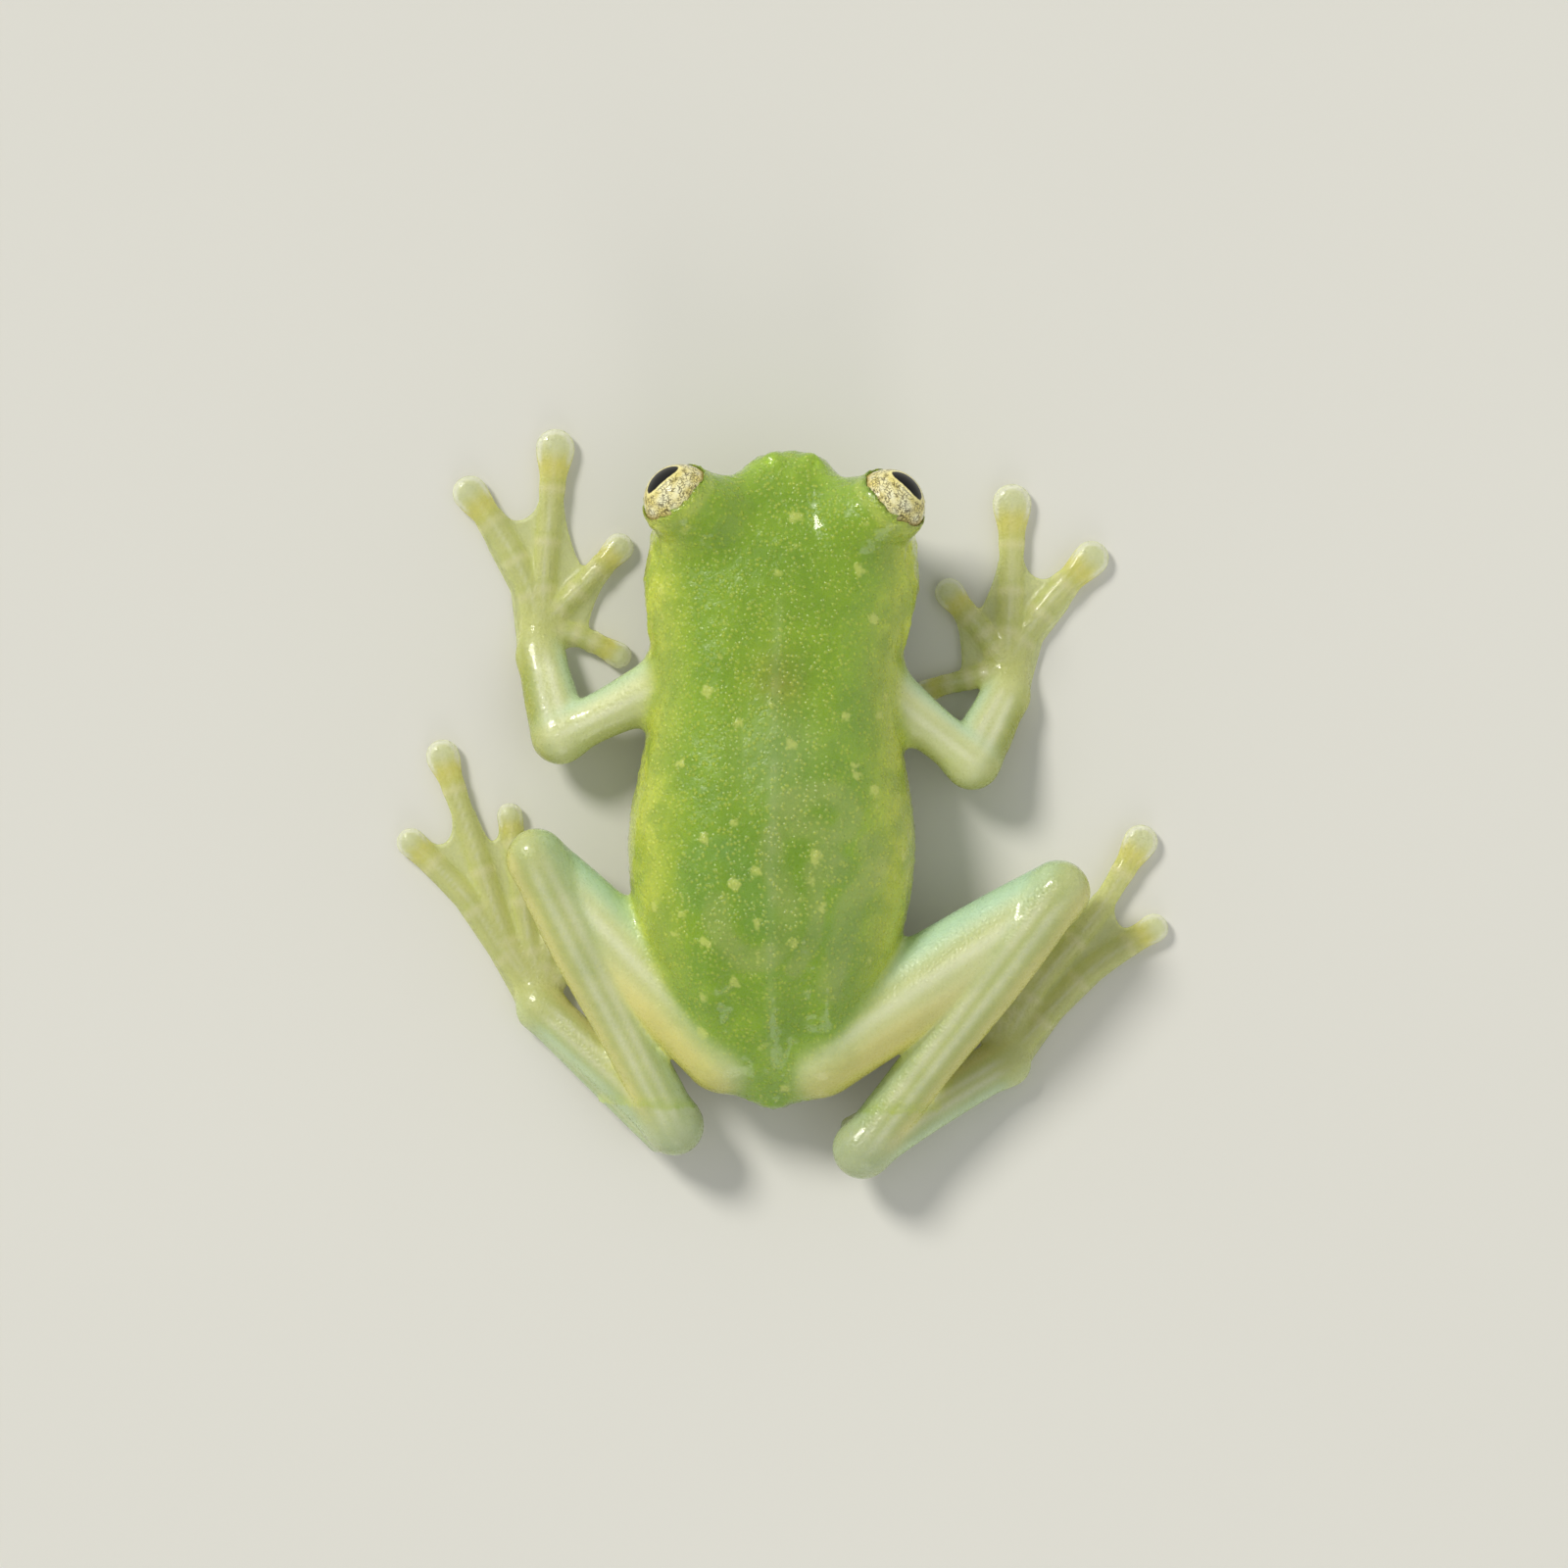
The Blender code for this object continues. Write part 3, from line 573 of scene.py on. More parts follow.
def digit_form(kind, digit, free, side, number):
    """A curved rod that swells at its root, its knuckles and its round disc, flattened from above."""
    curve, whole = digit_curve(digit)
    _, shaft, disc = digit
    knuckles = knuckle_runs(curve.length, disc)

    def measure(x, y, z):
        """The distance, the run along the digit and the share across it."""
        away, run, turn = curve.nearest(x, y)
        to_disc = curve.length - run
        root = np.clip(1.0 - run / (free * whole.length), 0.0, 1.0)
        flare = np.exp(-((to_disc / (DISC_SPREAD * disc)) ** 2))
        width = shaft + (DIGIT_ROOT_WIDTH - shaft) * root + (disc - shaft) * flare
        height = DIGIT_HEIGHT + (DIGIT_ROOT_HEIGHT - DIGIT_HEIGHT) * root
        height = height + (DISC_HEIGHT - DIGIT_HEIGHT) * flare
        for knuckle in knuckles:
            swelling = np.exp(-(((run - knuckle) / KNUCKLE_SPREAD) ** 2))
            width = width + KNUCKLE_SWELL * swelling
            height = height + KNUCKLE_SWELL * swelling
        rise = z - DIGIT_LIFT
        level = np.sqrt((away / width) ** 2 + (rise / height) ** 2) + 1e-9
        steepness = np.sqrt((away / width**2) ** 2 + (rise / height**2) ** 2) + 1e-9
        distance = level * (level - 1.0) / steepness
        return distance, run + 0.0 * distance, turn * away / width + 0.0 * distance

    low = (*(curve.place.min(0) - 0.8), -0.2)
    high = (*(curve.place.max(0) + 0.8), 0.9)
    facts = {"length": curve.length, "disc": disc, "shaft": shaft, "knuckles": knuckles}
    facts |= {"end": curve.place[-1], "heading": curve.heading(curve.share[-1])}
    return Form(kind, measure, low, high, FILLETS["digit"], side, number, facts)


def knuckle_runs(length, disc):
    """The runs at which a digit bends: just below the disc, and again half way down to the palm."""
    last = length - 2.1 * disc
    return (last, last * 0.60, last * 0.25)


def web_outline(joint, before, half_width, digits, webs, margin):
    """The web's edge in plan: from the limb, out and round each digit in turn, and back again."""
    curves = [digit_curve(digit)[1] for digit in digits]
    along = np.array(joint[:2]) - np.array(before[:2])
    along = along / np.hypot(*along)
    inwards = np.array(digits[0][0][-1]) - np.array(digits[-1][0][-1])
    across = np.array((along[1], -along[0])) * half_width
    across = across if across @ inwards > 0 else -across
    base = np.array(joint[:2])
    outline, frees = [base + across], []
    for i, (digit, curve) in enumerate(zip(digits, curves)):
        beside = max(curve.share_beside(web) for web in webs[max(0, i - 1) : i + 1])
        free = beside + PAST_WEB / curve.length
        frees.append(free)
        end, heading = curve.at(free), curve.heading(free)
        reach = np.array((heading[1], -heading[0])) * digit[1]
        reach = reach if across @ reach < 0 else -reach
        if i:
            start = outline[-1]
            control = 2 * np.array(webs[i - 1]) - (start + end - reach) / 2
            for t in np.arange(1, WEB_EDGE_STEPS) / WEB_EDGE_STEPS:
                outline.append(start * (1 - t) ** 2 + control * 2 * t * (1 - t) + (end - reach) * t**2)
        outline += [end - reach, end + reach]
    for share in reversed(OUTER_SHARES):
        if share < free - 0.05:
            outline.append(curve.at(share) + reach / np.hypot(*reach) * (digit[1] + margin))
    outline.append(base - across)
    return np.array(outline), frees


def web_form(kind, outline, fillet, side):
    """A thin sheet with a round edge: the plan distance to its outline, and the height from its middle."""

    def measure(x, y, z):
        """The distance, and how far outside the outline a place is."""
        inside = np.zeros(np.broadcast_shapes(x.shape, y.shape), bool)
        away = np.full(inside.shape, 1e9)
        for a, b in zip(outline, np.roll(outline, -1, axis=0)):
            step = b - a
            t = np.clip(((x - a[0]) * step[0] + (y - a[1]) * step[1]) / (step @ step), 0.0, 1.0)
            away = np.minimum(away, np.hypot(x - a[0] - t * step[0], y - a[1] - t * step[1]))
            crosses = (a[1] > y) != (b[1] > y)
            slope = step[0] / (step[1] if abs(step[1]) > 1e-9 else 1e-9)
            inside ^= crosses & (x < a[0] + (y - a[1]) * slope)
        edge = np.where(inside, -away, away)
        reach = np.maximum(edge + WEB_HALF_THICKNESS, 0.0)
        distance = np.hypot(reach, z - WEB_MIDDLE) - WEB_HALF_THICKNESS
        return distance, edge + 0.0 * distance, 0.0 * distance

    low = (*outline.min(0), -0.1)
    high = (*outline.max(0), 0.5)
    return Form(kind, measure, low, high, fillet, side)


def fold_fillet(corner, open_fillet):
    """A fillet that is wide at a folded joint and fades to a mere crease where the two limbs lie together."""

    def fillet(x, y, z):
        """The fillet, by the distance to the corner of the fold."""
        away = np.sqrt((x - corner[0]) ** 2 + (y - corner[1]) ** 2 + (z - corner[2]) ** 2)
        return FILLETS["fold"] + (open_fillet - FILLETS["fold"]) * ease(2.0, 0.8, away)

    return fillet


def extremity_forms(side, hand, joint, before, profile, digits, webs):
    """A palm or sole: the web, the pad from the wrist or ankle, and the digits over them."""
    names = ("hand", "finger") if hand else ("foot", "toe")
    along = np.array(joint[:2]) - np.array(before[:2])
    along = along / np.hypot(*along)
    root = np.array(digits[2][0][0]) + along * DIGIT_ROOT_WIDTH
    middle = (*root, DIGIT_LIFT)
    half_width, half_height = profile[-1][1:]
    margin = HAND_MARGIN if hand else FOOT_MARGIN
    outline, frees = web_outline(joint, before, half_width, digits, webs, margin)
    pad = ((0.0, half_width, half_height), (1.0, DIGIT_ROOT_WIDTH * 1.5, DIGIT_ROOT_HEIGHT))
    forms = [
        limb_form(names[0], joint, middle, pad, FILLETS["pad"], side=side),
        web_form(names[0] + "_web", outline, FILLETS["web"], side),
    ]
    for number, (digit, free) in enumerate(zip(digits, frees), 1):
        forms.append(digit_form(names[1], digit, free, side, number))
    return forms


def tarsus_fold_form(heel, ankle, side, sign):
    """A thin rod of skin along the tarsus, set out sideways from the line between the heel and the ankle."""
    along = np.array(ankle[:2]) - np.array(heel[:2])
    along = along / np.hypot(*along)
    out = np.array((-along[1], along[0])) * sign
    ends = [
        (*(np.array(joint[:2]) + out * reach), height)
        for joint, reach, height in zip((heel, ankle), TARSUS_FOLD_OUT, TARSUS_FOLD_HEIGHTS)
    ]
    return limb_form("tarsus", *ends, TARSUS_FOLD, FILLETS["tarsus_fold"], side=side)


def all_forms():
    """Every form of the flesh, in the order in which they join."""
    forms = [
        Form("body", body_measure, (-5.5, -16.6, -0.2), (5.7, 8.9, 6.8), 0.02),
    ]
    for side, sign in SIDES.items():
        orbit = (sign * ORBIT_CENTRE[0] + EYE_SHIFT, *ORBIT_CENTRE[1:])
        nostril = (sign * NOSTRIL_CENTRE[0] + NOSTRIL_SHIFT, *NOSTRIL_CENTRE[1:])
        forms.append(ball_form("orbit", orbit, ORBIT_RADIUS, FILLETS["orbit"], side=side))
        forms.append(ball_form("nostril", nostril, NOSTRIL_RADIUS, FILLETS["nostril"], side=side))
        forms.append(ball_form("lid", EYES[side].centre, LID_RADIUS, FILLETS["lid"], side=side))
    for side in SIDES:
        arm, leg = ARM_JOINTS[side], LEG_JOINTS[side]
        shoulder, elbow, wrist = (arm[k] for k in ("shoulder", "elbow", "wrist"))
        hip, knee, heel, ankle = (leg[k] for k in ("hip", "knee", "heel", "ankle"))
        shank_knee = (knee[0], knee[1], knee[2] + SHANK_RISE)
        forms.append(limb_form("upper_arm", shoulder, elbow, UPPER_ARM, FILLETS["upper_arm"], side=side))
        forms.append(
            limb_form("forearm", elbow, wrist, FOREARM, FILLETS["forearm"], side=side, relief=forearm_relief)
        )
        forms += extremity_forms(side, True, wrist, elbow, FOREARM, FINGERS[side], HAND_WEBS[side])
        forms.append(
            limb_form("thigh", hip, knee, THIGH, FILLETS["thigh"], THIGH_FULLNESS[side], side, thigh_relief)
        )
        knee_fillet = fold_fillet(shank_knee, FILLETS["knee"])
        forms.append(limb_form("shank", shank_knee, heel, SHANK, knee_fillet, 1.0, side, shank_relief))
        heel_fillet = fold_fillet(heel, FILLETS["knee"])
        foot = [limb_form("tarsus", heel, ankle, TARSUS, heel_fillet, side=side)]
        foot.append(tarsus_fold_form(heel, ankle, side, sign))
        foot += extremity_forms(side, False, ankle, heel, TARSUS, TOES[side], FOOT_WEBS[side])
        forms += foot
    return forms


FORMS = all_forms()
BELLY_LEVEL = 0.9


def fill_distance(places):
    """The signed distance to the whole frog at the given places: all forms joined, then the floor and
    sockets."""
    for form in FORMS:
        index, x, y, z = places.near(form.low, form.high)
        distance = form.measure(x, y, z)[0]
        fillet = form.fillet(x, y, z) if callable(form.fillet) else form.fillet
        places.distance[index] = join(places.distance[index], distance, fillet)
    for eye in EYES.values():
        index, x, y, z = places.near(eye.centre - 2.6, eye.centre + 2.6)
        places.distance[index] = carve(places.distance[index], -lid_opening(eye, x, y, z), 0.07)
    for sign in SIDES.values():
        pit = np.array((sign * (NOSTRIL_CENTRE[0] + NOSTRIL_PIT_OUT) + NOSTRIL_SHIFT, *NOSTRIL_PIT))
        index, x, y, z = places.near(pit - 0.6, pit + 0.6)
        places.distance[index] += 0.20 * knoll(x, y, z, pit, (0.11, 0.14, 0.16))
    z = places.axes[2] if not places.crossing else places.axes[2][None, None, :]
    places.distance = carve(places.distance, -z, 0.10)
    index, x, y, z = places.near((-4.6, -14.9, -0.5), (4.9, 7.6, 1.6))
    places.distance[index] += belly_grooves(x, y) * ease(BELLY_LEVEL, 0.35, z)
    return places.distance


# What shows through the belly: smooth loops and patches, in plan

GUT = {
    "beige_loop": (
        ((-1.92, -1.25), (-1.51, -1.99), (-0.5, -2.22), (0.19, -1.7), (0.16, -0.7), (-0.26, 0.29),
         (-0.54, 1.38), (-0.11, 2.44), (0.78, 2.91), (1.69, 2.44), (2.21, 1.45), (2.23, 0.85)),
        0.60,
    ),
    "green_lobe": (((1.63, -1.17), (1.20, -0.18), (0.83, 0.81), (0.71, 1.51)), 0.68),
    "green_loop": (((2.23, -1.25), (2.97, -0.94), (3.35, -0.13), (3.03, 0.67), (2.65, -0.04)), 0.62),
    "pale_loops": (
        ((-3.52, -1.49), (-3.74, -0.80), (-3.26, 0.02), (-2.77, 0.83), (-2.60, 1.73),
         (-2.32, 2.74), (-2.05, 3.95)),
        0.62,
    ),
    "small_lobe": (((-2.34, -0.66), (-2.14, -0.46)), 0.55),
    "pink_stretch": (((-1.34, -0.64), (-1.46, 0.36), (-1.48, 1.26), (-1.31, 2.26), (-0.73, 3.18)), 0.42),
    "tan_bulge": (
        ((-2.51, -2.07), (-2.69, -2.77), (-2.17, -3.36), (-1.27, -3.34), (-0.58, -3.12), (-0.18, -3.01)),
        0.60,
    ),
}
GUT_FULLNESS = 1.16
GUT_CURVES = {
    name: (PlanCurve(points, steps=40), half * GUT_FULLNESS) for name, (points, half) in GUT.items()
}
GUT_RELIEF = 0.085


def gut_shares(x, y):
    """For each loop: how deep inside it a place is, from 1 on its middle line to 0 at its edge, and the
    run along it."""
    return {
        name: (np.clip(1.0 - away / half, 0.0, 1.0), run)
        for name, (away, run, half) in (
            (name, (*curve.nearest(x, y)[:2], half)) for name, (curve, half) in GUT_CURVES.items()
        )
    }


def belly_grooves(x, y):
    """How far the skin draws in between the loops of the gut, round the heart, and at the fold of the
    chest."""
    within = hill(x, y, (-0.1, 0.9), (4.2, 3.4))
    nearest = np.zeros(np.broadcast_shapes(x.shape, y.shape))
    for depth, _ in gut_shares(x, y).values():
        nearest = np.maximum(nearest, depth)
    groove = GUT_RELIEF * ease(0.42, 0.0, nearest) * ease(0.25, 0.6, within)
    heart = np.hypot((x - 0.13) / 0.95, (y + 7.75) / 1.0)
    groove = groove + 0.05 * np.exp(-(((heart - 1.05) / 0.2) ** 2))
    return groove + 0.10 * np.exp(-(((y - chest_fold(x)) / 0.14) ** 2)) * ease(4.4, 3.6, np.abs(x))


def chest_fold(x):
    """The fold across the chest: level, with a dip of a wave on each side of the middle."""
    return -9.0 - 0.30 * np.cos(2 * math.pi * x / 3.3) * np.exp(-((x / 2.6) ** 2))


# The skin's mesh


def axis_steps(stretches, coarseness):
    """Even steps along each stretch, one stretch after another."""
    pieces = []
    for start, end, step in stretches:
        count = max(2, round((end - start) / (step * coarseness)))
        pieces.append(np.linspace(start, end, count + 1)[:-1])
    pieces.append([stretches[-1][1]])
    return np.concatenate(pieces)


def close_pinches(distance):
    """Where inside and outside meet only corner to corner on a face of the grid, one outer corner is taken
    in."""
    sheer = -1e-4
    for _ in range(6):
        inside = distance < 0
        found = 0
        for first, second in ((0, 1), (1, 2), (0, 2)):
            low_first = [slice(None)] * 3
            low_first[first], low_first[second] = slice(None, -1), slice(None, -1)
            corners = []
            for a in (0, 1):
                for b in (0, 1):
                    cut = list(low_first)
                    cut[first] = slice(a, a - 1 or None)
                    cut[second] = slice(b, b - 1 or None)
                    corners.append(tuple(cut))
            c00, c01, c10, c11 = corners
            crossed = (inside[c00] == inside[c11]) & (inside[c01] == inside[c10])
            crossed &= inside[c00] != inside[c01]
            found += int(crossed.sum())
            for corner in (c00, c01):
                part = distance[corner]
                part[crossed & (part >= 0)] = sheer
        found += close_cell_pinches(distance, sheer)
        if not found:
            break
    return distance


def close_cell_pinches(distance, sheer):
    """Where only two opposite corners of a cell are inside, or only two are outside, one of them is turned
    over."""
    inside = distance < 0
    cuts = {n: slice(n, n - 1 or None) for n in (0, 1)}
    corner = {(a, b, c): (cuts[a], cuts[b], cuts[c]) for a in (0, 1) for b in (0, 1) for c in (0, 1)}
    count = sum(inside[cut].astype(np.int8) for cut in corner.values())
    found = 0
    for a, b in ((0, 0), (0, 1), (1, 0), (1, 1)):
        near, far = corner[a, b, 0], corner[1 - a, 1 - b, 1]
        lone_inside = inside[near] & inside[far] & (count == 2)
        lone_outside = ~inside[near] & ~inside[far] & (count == 6)
        part = distance[near]
        part[lone_inside] = -sheer
        part[lone_outside] = sheer
        found += int(lone_inside.sum() + lone_outside.sum())
    return found


def surface_net(distance, axes):
    """One point in each cell that the surface crosses, at the mean of its edges' crossings, and a quad for
    each edge."""
    shape = tuple(n - 1 for n in distance.shape)
    cell_ids, crossings, quads = [], [], []
    for axis in range(3):
        low = [slice(None)] * 3
        high = [slice(None)] * 3
        low[axis], high[axis] = slice(None, -1), slice(1, None)
        a, b = distance[tuple(low)], distance[tuple(high)]
        index = np.argwhere((a < 0) != (b < 0))
        value_a, value_b = a[tuple(index.T)], b[tuple(index.T)]
        share = value_a / (value_a - value_b)
        point = np.stack([axes[k][index[:, k]] for k in range(3)], axis=1)
        step = axes[axis][index[:, axis] + 1] - axes[axis][index[:, axis]]
        point[:, axis] += share * step
        second, third = (axis + 1) % 3, (axis + 2) % 3
        ring = []
        for back_second, back_third in ((1, 1), (0, 1), (0, 0), (1, 0)):
            cell = index.copy()
            cell[:, second] -= back_second
            cell[:, third] -= back_third
            ring.append(np.ravel_multi_index(tuple(cell.T), shape, mode="clip"))
            crossings.append(point)
        ring = np.stack(ring, axis=1)
        cell_ids.append(ring.T.ravel())
        outward = value_a < 0
        quads.append(np.where(outward[:, None], ring, ring[:, ::-1]))
    ids, inverse = np.unique(np.concatenate(cell_ids), return_inverse=True)
    crossings = np.concatenate(crossings)
    count = np.bincount(inverse)
    points = np.stack([np.bincount(inverse, crossings[:, k]) / count for k in range(3)], axis=1)
    quads = np.searchsorted(ids, np.concatenate(quads))
    return points, quads


def largest_piece(points, quads):
    """The points and quads of the largest connected piece: each point takes its neighbours' lowest number
    in turn."""
    piece = np.arange(len(points))
    ends = quads.ravel(), np.roll(quads, -1, axis=1).ravel()
    while True:
        lowest = piece.copy()
        np.minimum.at(lowest, ends[0], piece[ends[1]])
        np.minimum.at(lowest, ends[1], piece[ends[0]])
        lowest = lowest[lowest]
        if (lowest == piece).all():
            break
        piece = lowest
    kept = piece == np.bincount(piece).argmax()
    number = np.cumsum(kept) - 1
    return points[kept], number[quads[kept[quads[:, 0]]]]


def distance_at(points):
    """The signed distance of free points to the whole frog."""
    return fill_distance(Places(*points.T, crossing=False))


def slope_at(points, step=0.02):
    """The distance at each point, and the direction in which it grows."""
    here = distance_at(points)
    slope = np.stack([distance_at(points + step * np.eye(3)[k]) - here for k in range(3)], axis=1) / step
    return here, slope


def even_out(points, quads, share):
    """Moves each point part of the way to the mean of its neighbours along the quads' edges."""
    ends = np.concatenate([quads[:, [0, 1]], quads[:, [1, 2]], quads[:, [2, 3]], quads[:, [3, 0]]])
    count = np.bincount(ends[:, 0], minlength=len(points)) + np.bincount(ends[:, 1], minlength=len(points))
    mean = np.zeros_like(points)
    for k in range(3):
        mean[:, k] = np.bincount(ends[:, 0], points[ends[:, 1], k], len(points))
        mean[:, k] += np.bincount(ends[:, 1], points[ends[:, 0], k], len(points))
    return points + share * (mean / count[:, None] - points)


def skin_shape():
    """The skin's points, quads and outward directions."""
    coarseness = 1.0
    axes = [axis_steps(stretches, coarseness) for stretches in (SKIN_X, SKIN_Y, SKIN_Z)]
    distance = close_pinches(fill_distance(Places(*axes, crossing=True)))
    points, quads = largest_piece(*surface_net(distance, axes))
    for share in (0.5, 0.4, 0.25):
        points = even_out(points, quads, share)
        away, slope = slope_at(points)
        steep = np.maximum((slope**2).sum(1), 0.05)
        points = points - np.clip(away, -0.12, 0.12)[:, None] * slope / steep[:, None]
    points[:, 2] = np.where(points[:, 2] < 0.012, 0.0, points[:, 2])
    _, slope = slope_at(points)
    outward = slope / np.maximum(np.linalg.norm(slope, axis=1), 1e-6)[:, None]
    return points, quads, outward


# The skin's colours, as they look on a screen from 0 to 255, and mixed in linear light


def tone(red, green, blue):
    """A screen colour from 0 to 255, as linear red, green and blue."""
    shown = np.array((red, green, blue), float) / 255
    return np.where(shown <= 0.04045, shown / 12.92, ((shown + 0.055) / 1.055) ** 2.4)


SPOT = tone(214, 220, 118)
FLECK = tone(70, 92, 30)
LID_LINE = tone(66, 54, 20)
BACK_GREEN = tone(138, 170, 44)
BACK_DEEP = tone(104, 142, 38)
RIM_YELLOW = tone(204, 212, 78)
SNOUT_GREEN = tone(162, 192, 64)
THROAT = tone(152, 170, 78)
THROAT_GREY = tone(138, 148, 84)
JAW_RIM = tone(208, 224, 150)
JAW_DARK = tone(98, 108, 34)
JAW_BROWN = tone(132, 92, 52)
CHEST = tone(172, 178, 128)
FLANK = tone(196, 206, 130)
BELLY = tone(176, 186, 134)
HEART = tone(128, 10, 34)
HEART_EDGE = tone(168, 70, 70)
VEIN = tone(150, 66, 74)
DARK_RED = tone(92, 30, 34)
PALE_FAT = tone(214, 220, 194)
GREY_BLUE = tone(104, 122, 118)
SMOKE = tone(96, 98, 80)
BEIGE = tone(186, 182, 134)
GUT_GREEN = tone(100, 148, 88)
PINK = tone(204, 166, 130)
TAN = tone(206, 174, 130)
BETWEEN = tone(98, 84, 52)
LIMB = tone(230, 234, 176)
OLIVE_RIM = tone(172, 176, 44)
# Painted shade: the darker colour of the sides and edges of limbs, digits and webs, and of the line past each
# knuckle
LIMB_EDGE_SHADE = tone(196, 206, 92)
LIMB_DEEP = tone(172, 182, 92)
HEEL_GREY = tone(176, 190, 156)
LIMB_TOP = tone(196, 206, 96)
LIMB_YELLOW = tone(232, 212, 92)
LIMB_AQUA = tone(186, 226, 200)
LIMB_BONE = tone(242, 242, 218)
DIGIT = tone(222, 224, 142)
DIGIT_BAND = tone(244, 240, 182)
DIGIT_GOLD = tone(236, 226, 104)
DISC = tone(230, 234, 186)
DISC_RIM_HIGHLIGHT = tone(250, 250, 232)
WEB = tone(220, 226, 150)


def mix(a, b, mask):
    """Colour a turned towards colour b by a mask."""
    mask = np.asarray(mask)[..., None]
    return a + (b - a) * mask


def line_mask(away, half_width):
    """One on a line, falling off as the bell curve of the distance over the half width."""
    return np.exp(-((away / half_width) ** 2))


def back_colour(x, y):
    """The back's green, warmer at the flanks and snout, with a faint show of the heart, spine and gut
    inside."""
    middle = np.abs(x - spine_x(y))
    colour = mix(BACK_GREEN, RIM_YELLOW, ease(2.8, 5.1, middle) * 0.85)
    colour = mix(colour, SNOUT_GREEN, ease(-14.6, -16.0, y) * 0.6)
    colour = mix(colour, BACK_DEEP, 0.50 * hill(x, y, (0.1, -0.5), (3.2, 4.6)))
    colour = mix(colour, BACK_DEEP, 0.35 * hill(middle, y, (0.0, -12.2), (2.4, 1.8)))
    colour = mix(colour, HEART_EDGE, 0.22 * hill(x, y, (0.13, -7.7), (0.95, 1.0)))
    colour = mix(colour, PALE_FAT, 0.16 * hill(x, y, (0.0, -4.8), (1.6, 1.5)))
    for name, (depth, _) in gut_shares(x, y).items():
        seen = GUT_GREEN if name.startswith("green") else BEIGE
        colour = mix(colour, seen, 0.22 * ease(0.0, 0.6, depth))
    spine = line_mask(middle, 0.20) * ease(-11.5, -9.5, y) * ease(7.8, 6.0, y)
    return mix(colour, PALE_FAT, 0.10 * spine)


def throat_colour(x, y):
    """The throat: green, greyer towards the chest, with a pale rim inside the jaw, soft patches and a pale
    middle line."""
    colour = mix(THROAT, THROAT_GREY, ease(-12.6, -9.6, y) * ease(4.4, 2.2, np.abs(x)))
    jaw = np.hypot(x / 5.0, np.minimum(y + 11.7, 0.0) / 3.2)
    colour = mix(colour, JAW_RIM, 0.8 * np.exp(-(((jaw - 1.0) / 0.07) ** 2)) * ease(-11.0, -12.2, y))
    for centre, size, shade, strength in (
        ((-3.70, -12.01), (0.75, 0.35), JAW_DARK, 0.55),
        ((-4.44, -11.62), (0.35, 0.35), JAW_BROWN, 0.35),
        ((4.00, -12.23), (0.60, 0.50), JAW_DARK, 0.55),
        ((4.39, -11.40), (0.40, 0.70), JAW_DARK, 0.35),
        ((-2.12, -10.35), (0.85, 0.45), JAW_DARK, 0.55),
        ((2.10, -10.66), (0.50, 0.40), JAW_BROWN, 0.75),
        ((-1.72, -13.46), (0.18, 0.13), JAW_BROWN, 0.60),
        ((1.07, -13.60), (0.06, 0.06), SMOKE, 0.80),
    ):
        colour = mix(colour, shade, strength * hill(x, y, centre, size))
    pale = line_mask(x - 0.10, 0.09) * ease(-13.2, -11.5, y)
    pale = pale + 0.8 * line_mask(x + 1.50 - 0.45 * ease(-12.0, -9.8, y), 0.07) * ease(-13.6, -13.0, y)
    return mix(colour, JAW_RIM, 0.28 * pale)


def gut_colour(colour, x, y):
    """The loops of the gut: each with its own colour and fine crinkles across it, with painted shade at its
    edges and a painted highlight along its middle.
    """
    shades = {
        "beige_loop": BEIGE,
        "green_lobe": GUT_GREEN,
        "green_loop": GUT_GREEN,
        "pale_loops": tone(176, 170, 112),
        "small_lobe": tone(180, 172, 116),
        "pink_stretch": PINK,
        "tan_bulge": TAN,
    }
    area = hill(x, y, (-0.15, 0.7), (3.9, 3.5))
    colour = mix(colour, BETWEEN, 0.70 * ease(0.28, 0.70, area))
    order = ("pale_loops", "small_lobe", "pink_stretch", "tan_bulge", "beige_loop")
    order += ("green_loop", "green_lobe")
    shares = gut_shares(x, y)
    for name in order:
        depth, run = shares[name]
        shade = np.broadcast_to(shades[name], colour.shape)
        if name == "beige_loop":
            shade = mix(shade, GUT_GREEN, ease(6.2, 8.4, run))
        crinkle = 0.5 + 0.5 * np.sin(run * 13.0 + 2.0 * np.sin(run * 3.1 + x * 2.0))
        shade = mix(shade, shade * 0.62, 0.30 * crinkle * ease(0.9, 0.2, depth))
        # Painted shade at each loop's edges and a painted highlight along its middle, so that it looks round.
        shade = mix(shade, shade * 0.45, 0.75 * ease(0.32, 0.0, depth))
        shade = mix(shade, PALE_FAT, 0.20 * ease(0.5, 1.0, depth))
        colour = mix(colour, shade, ease(0.0, 0.12, depth))
    return colour


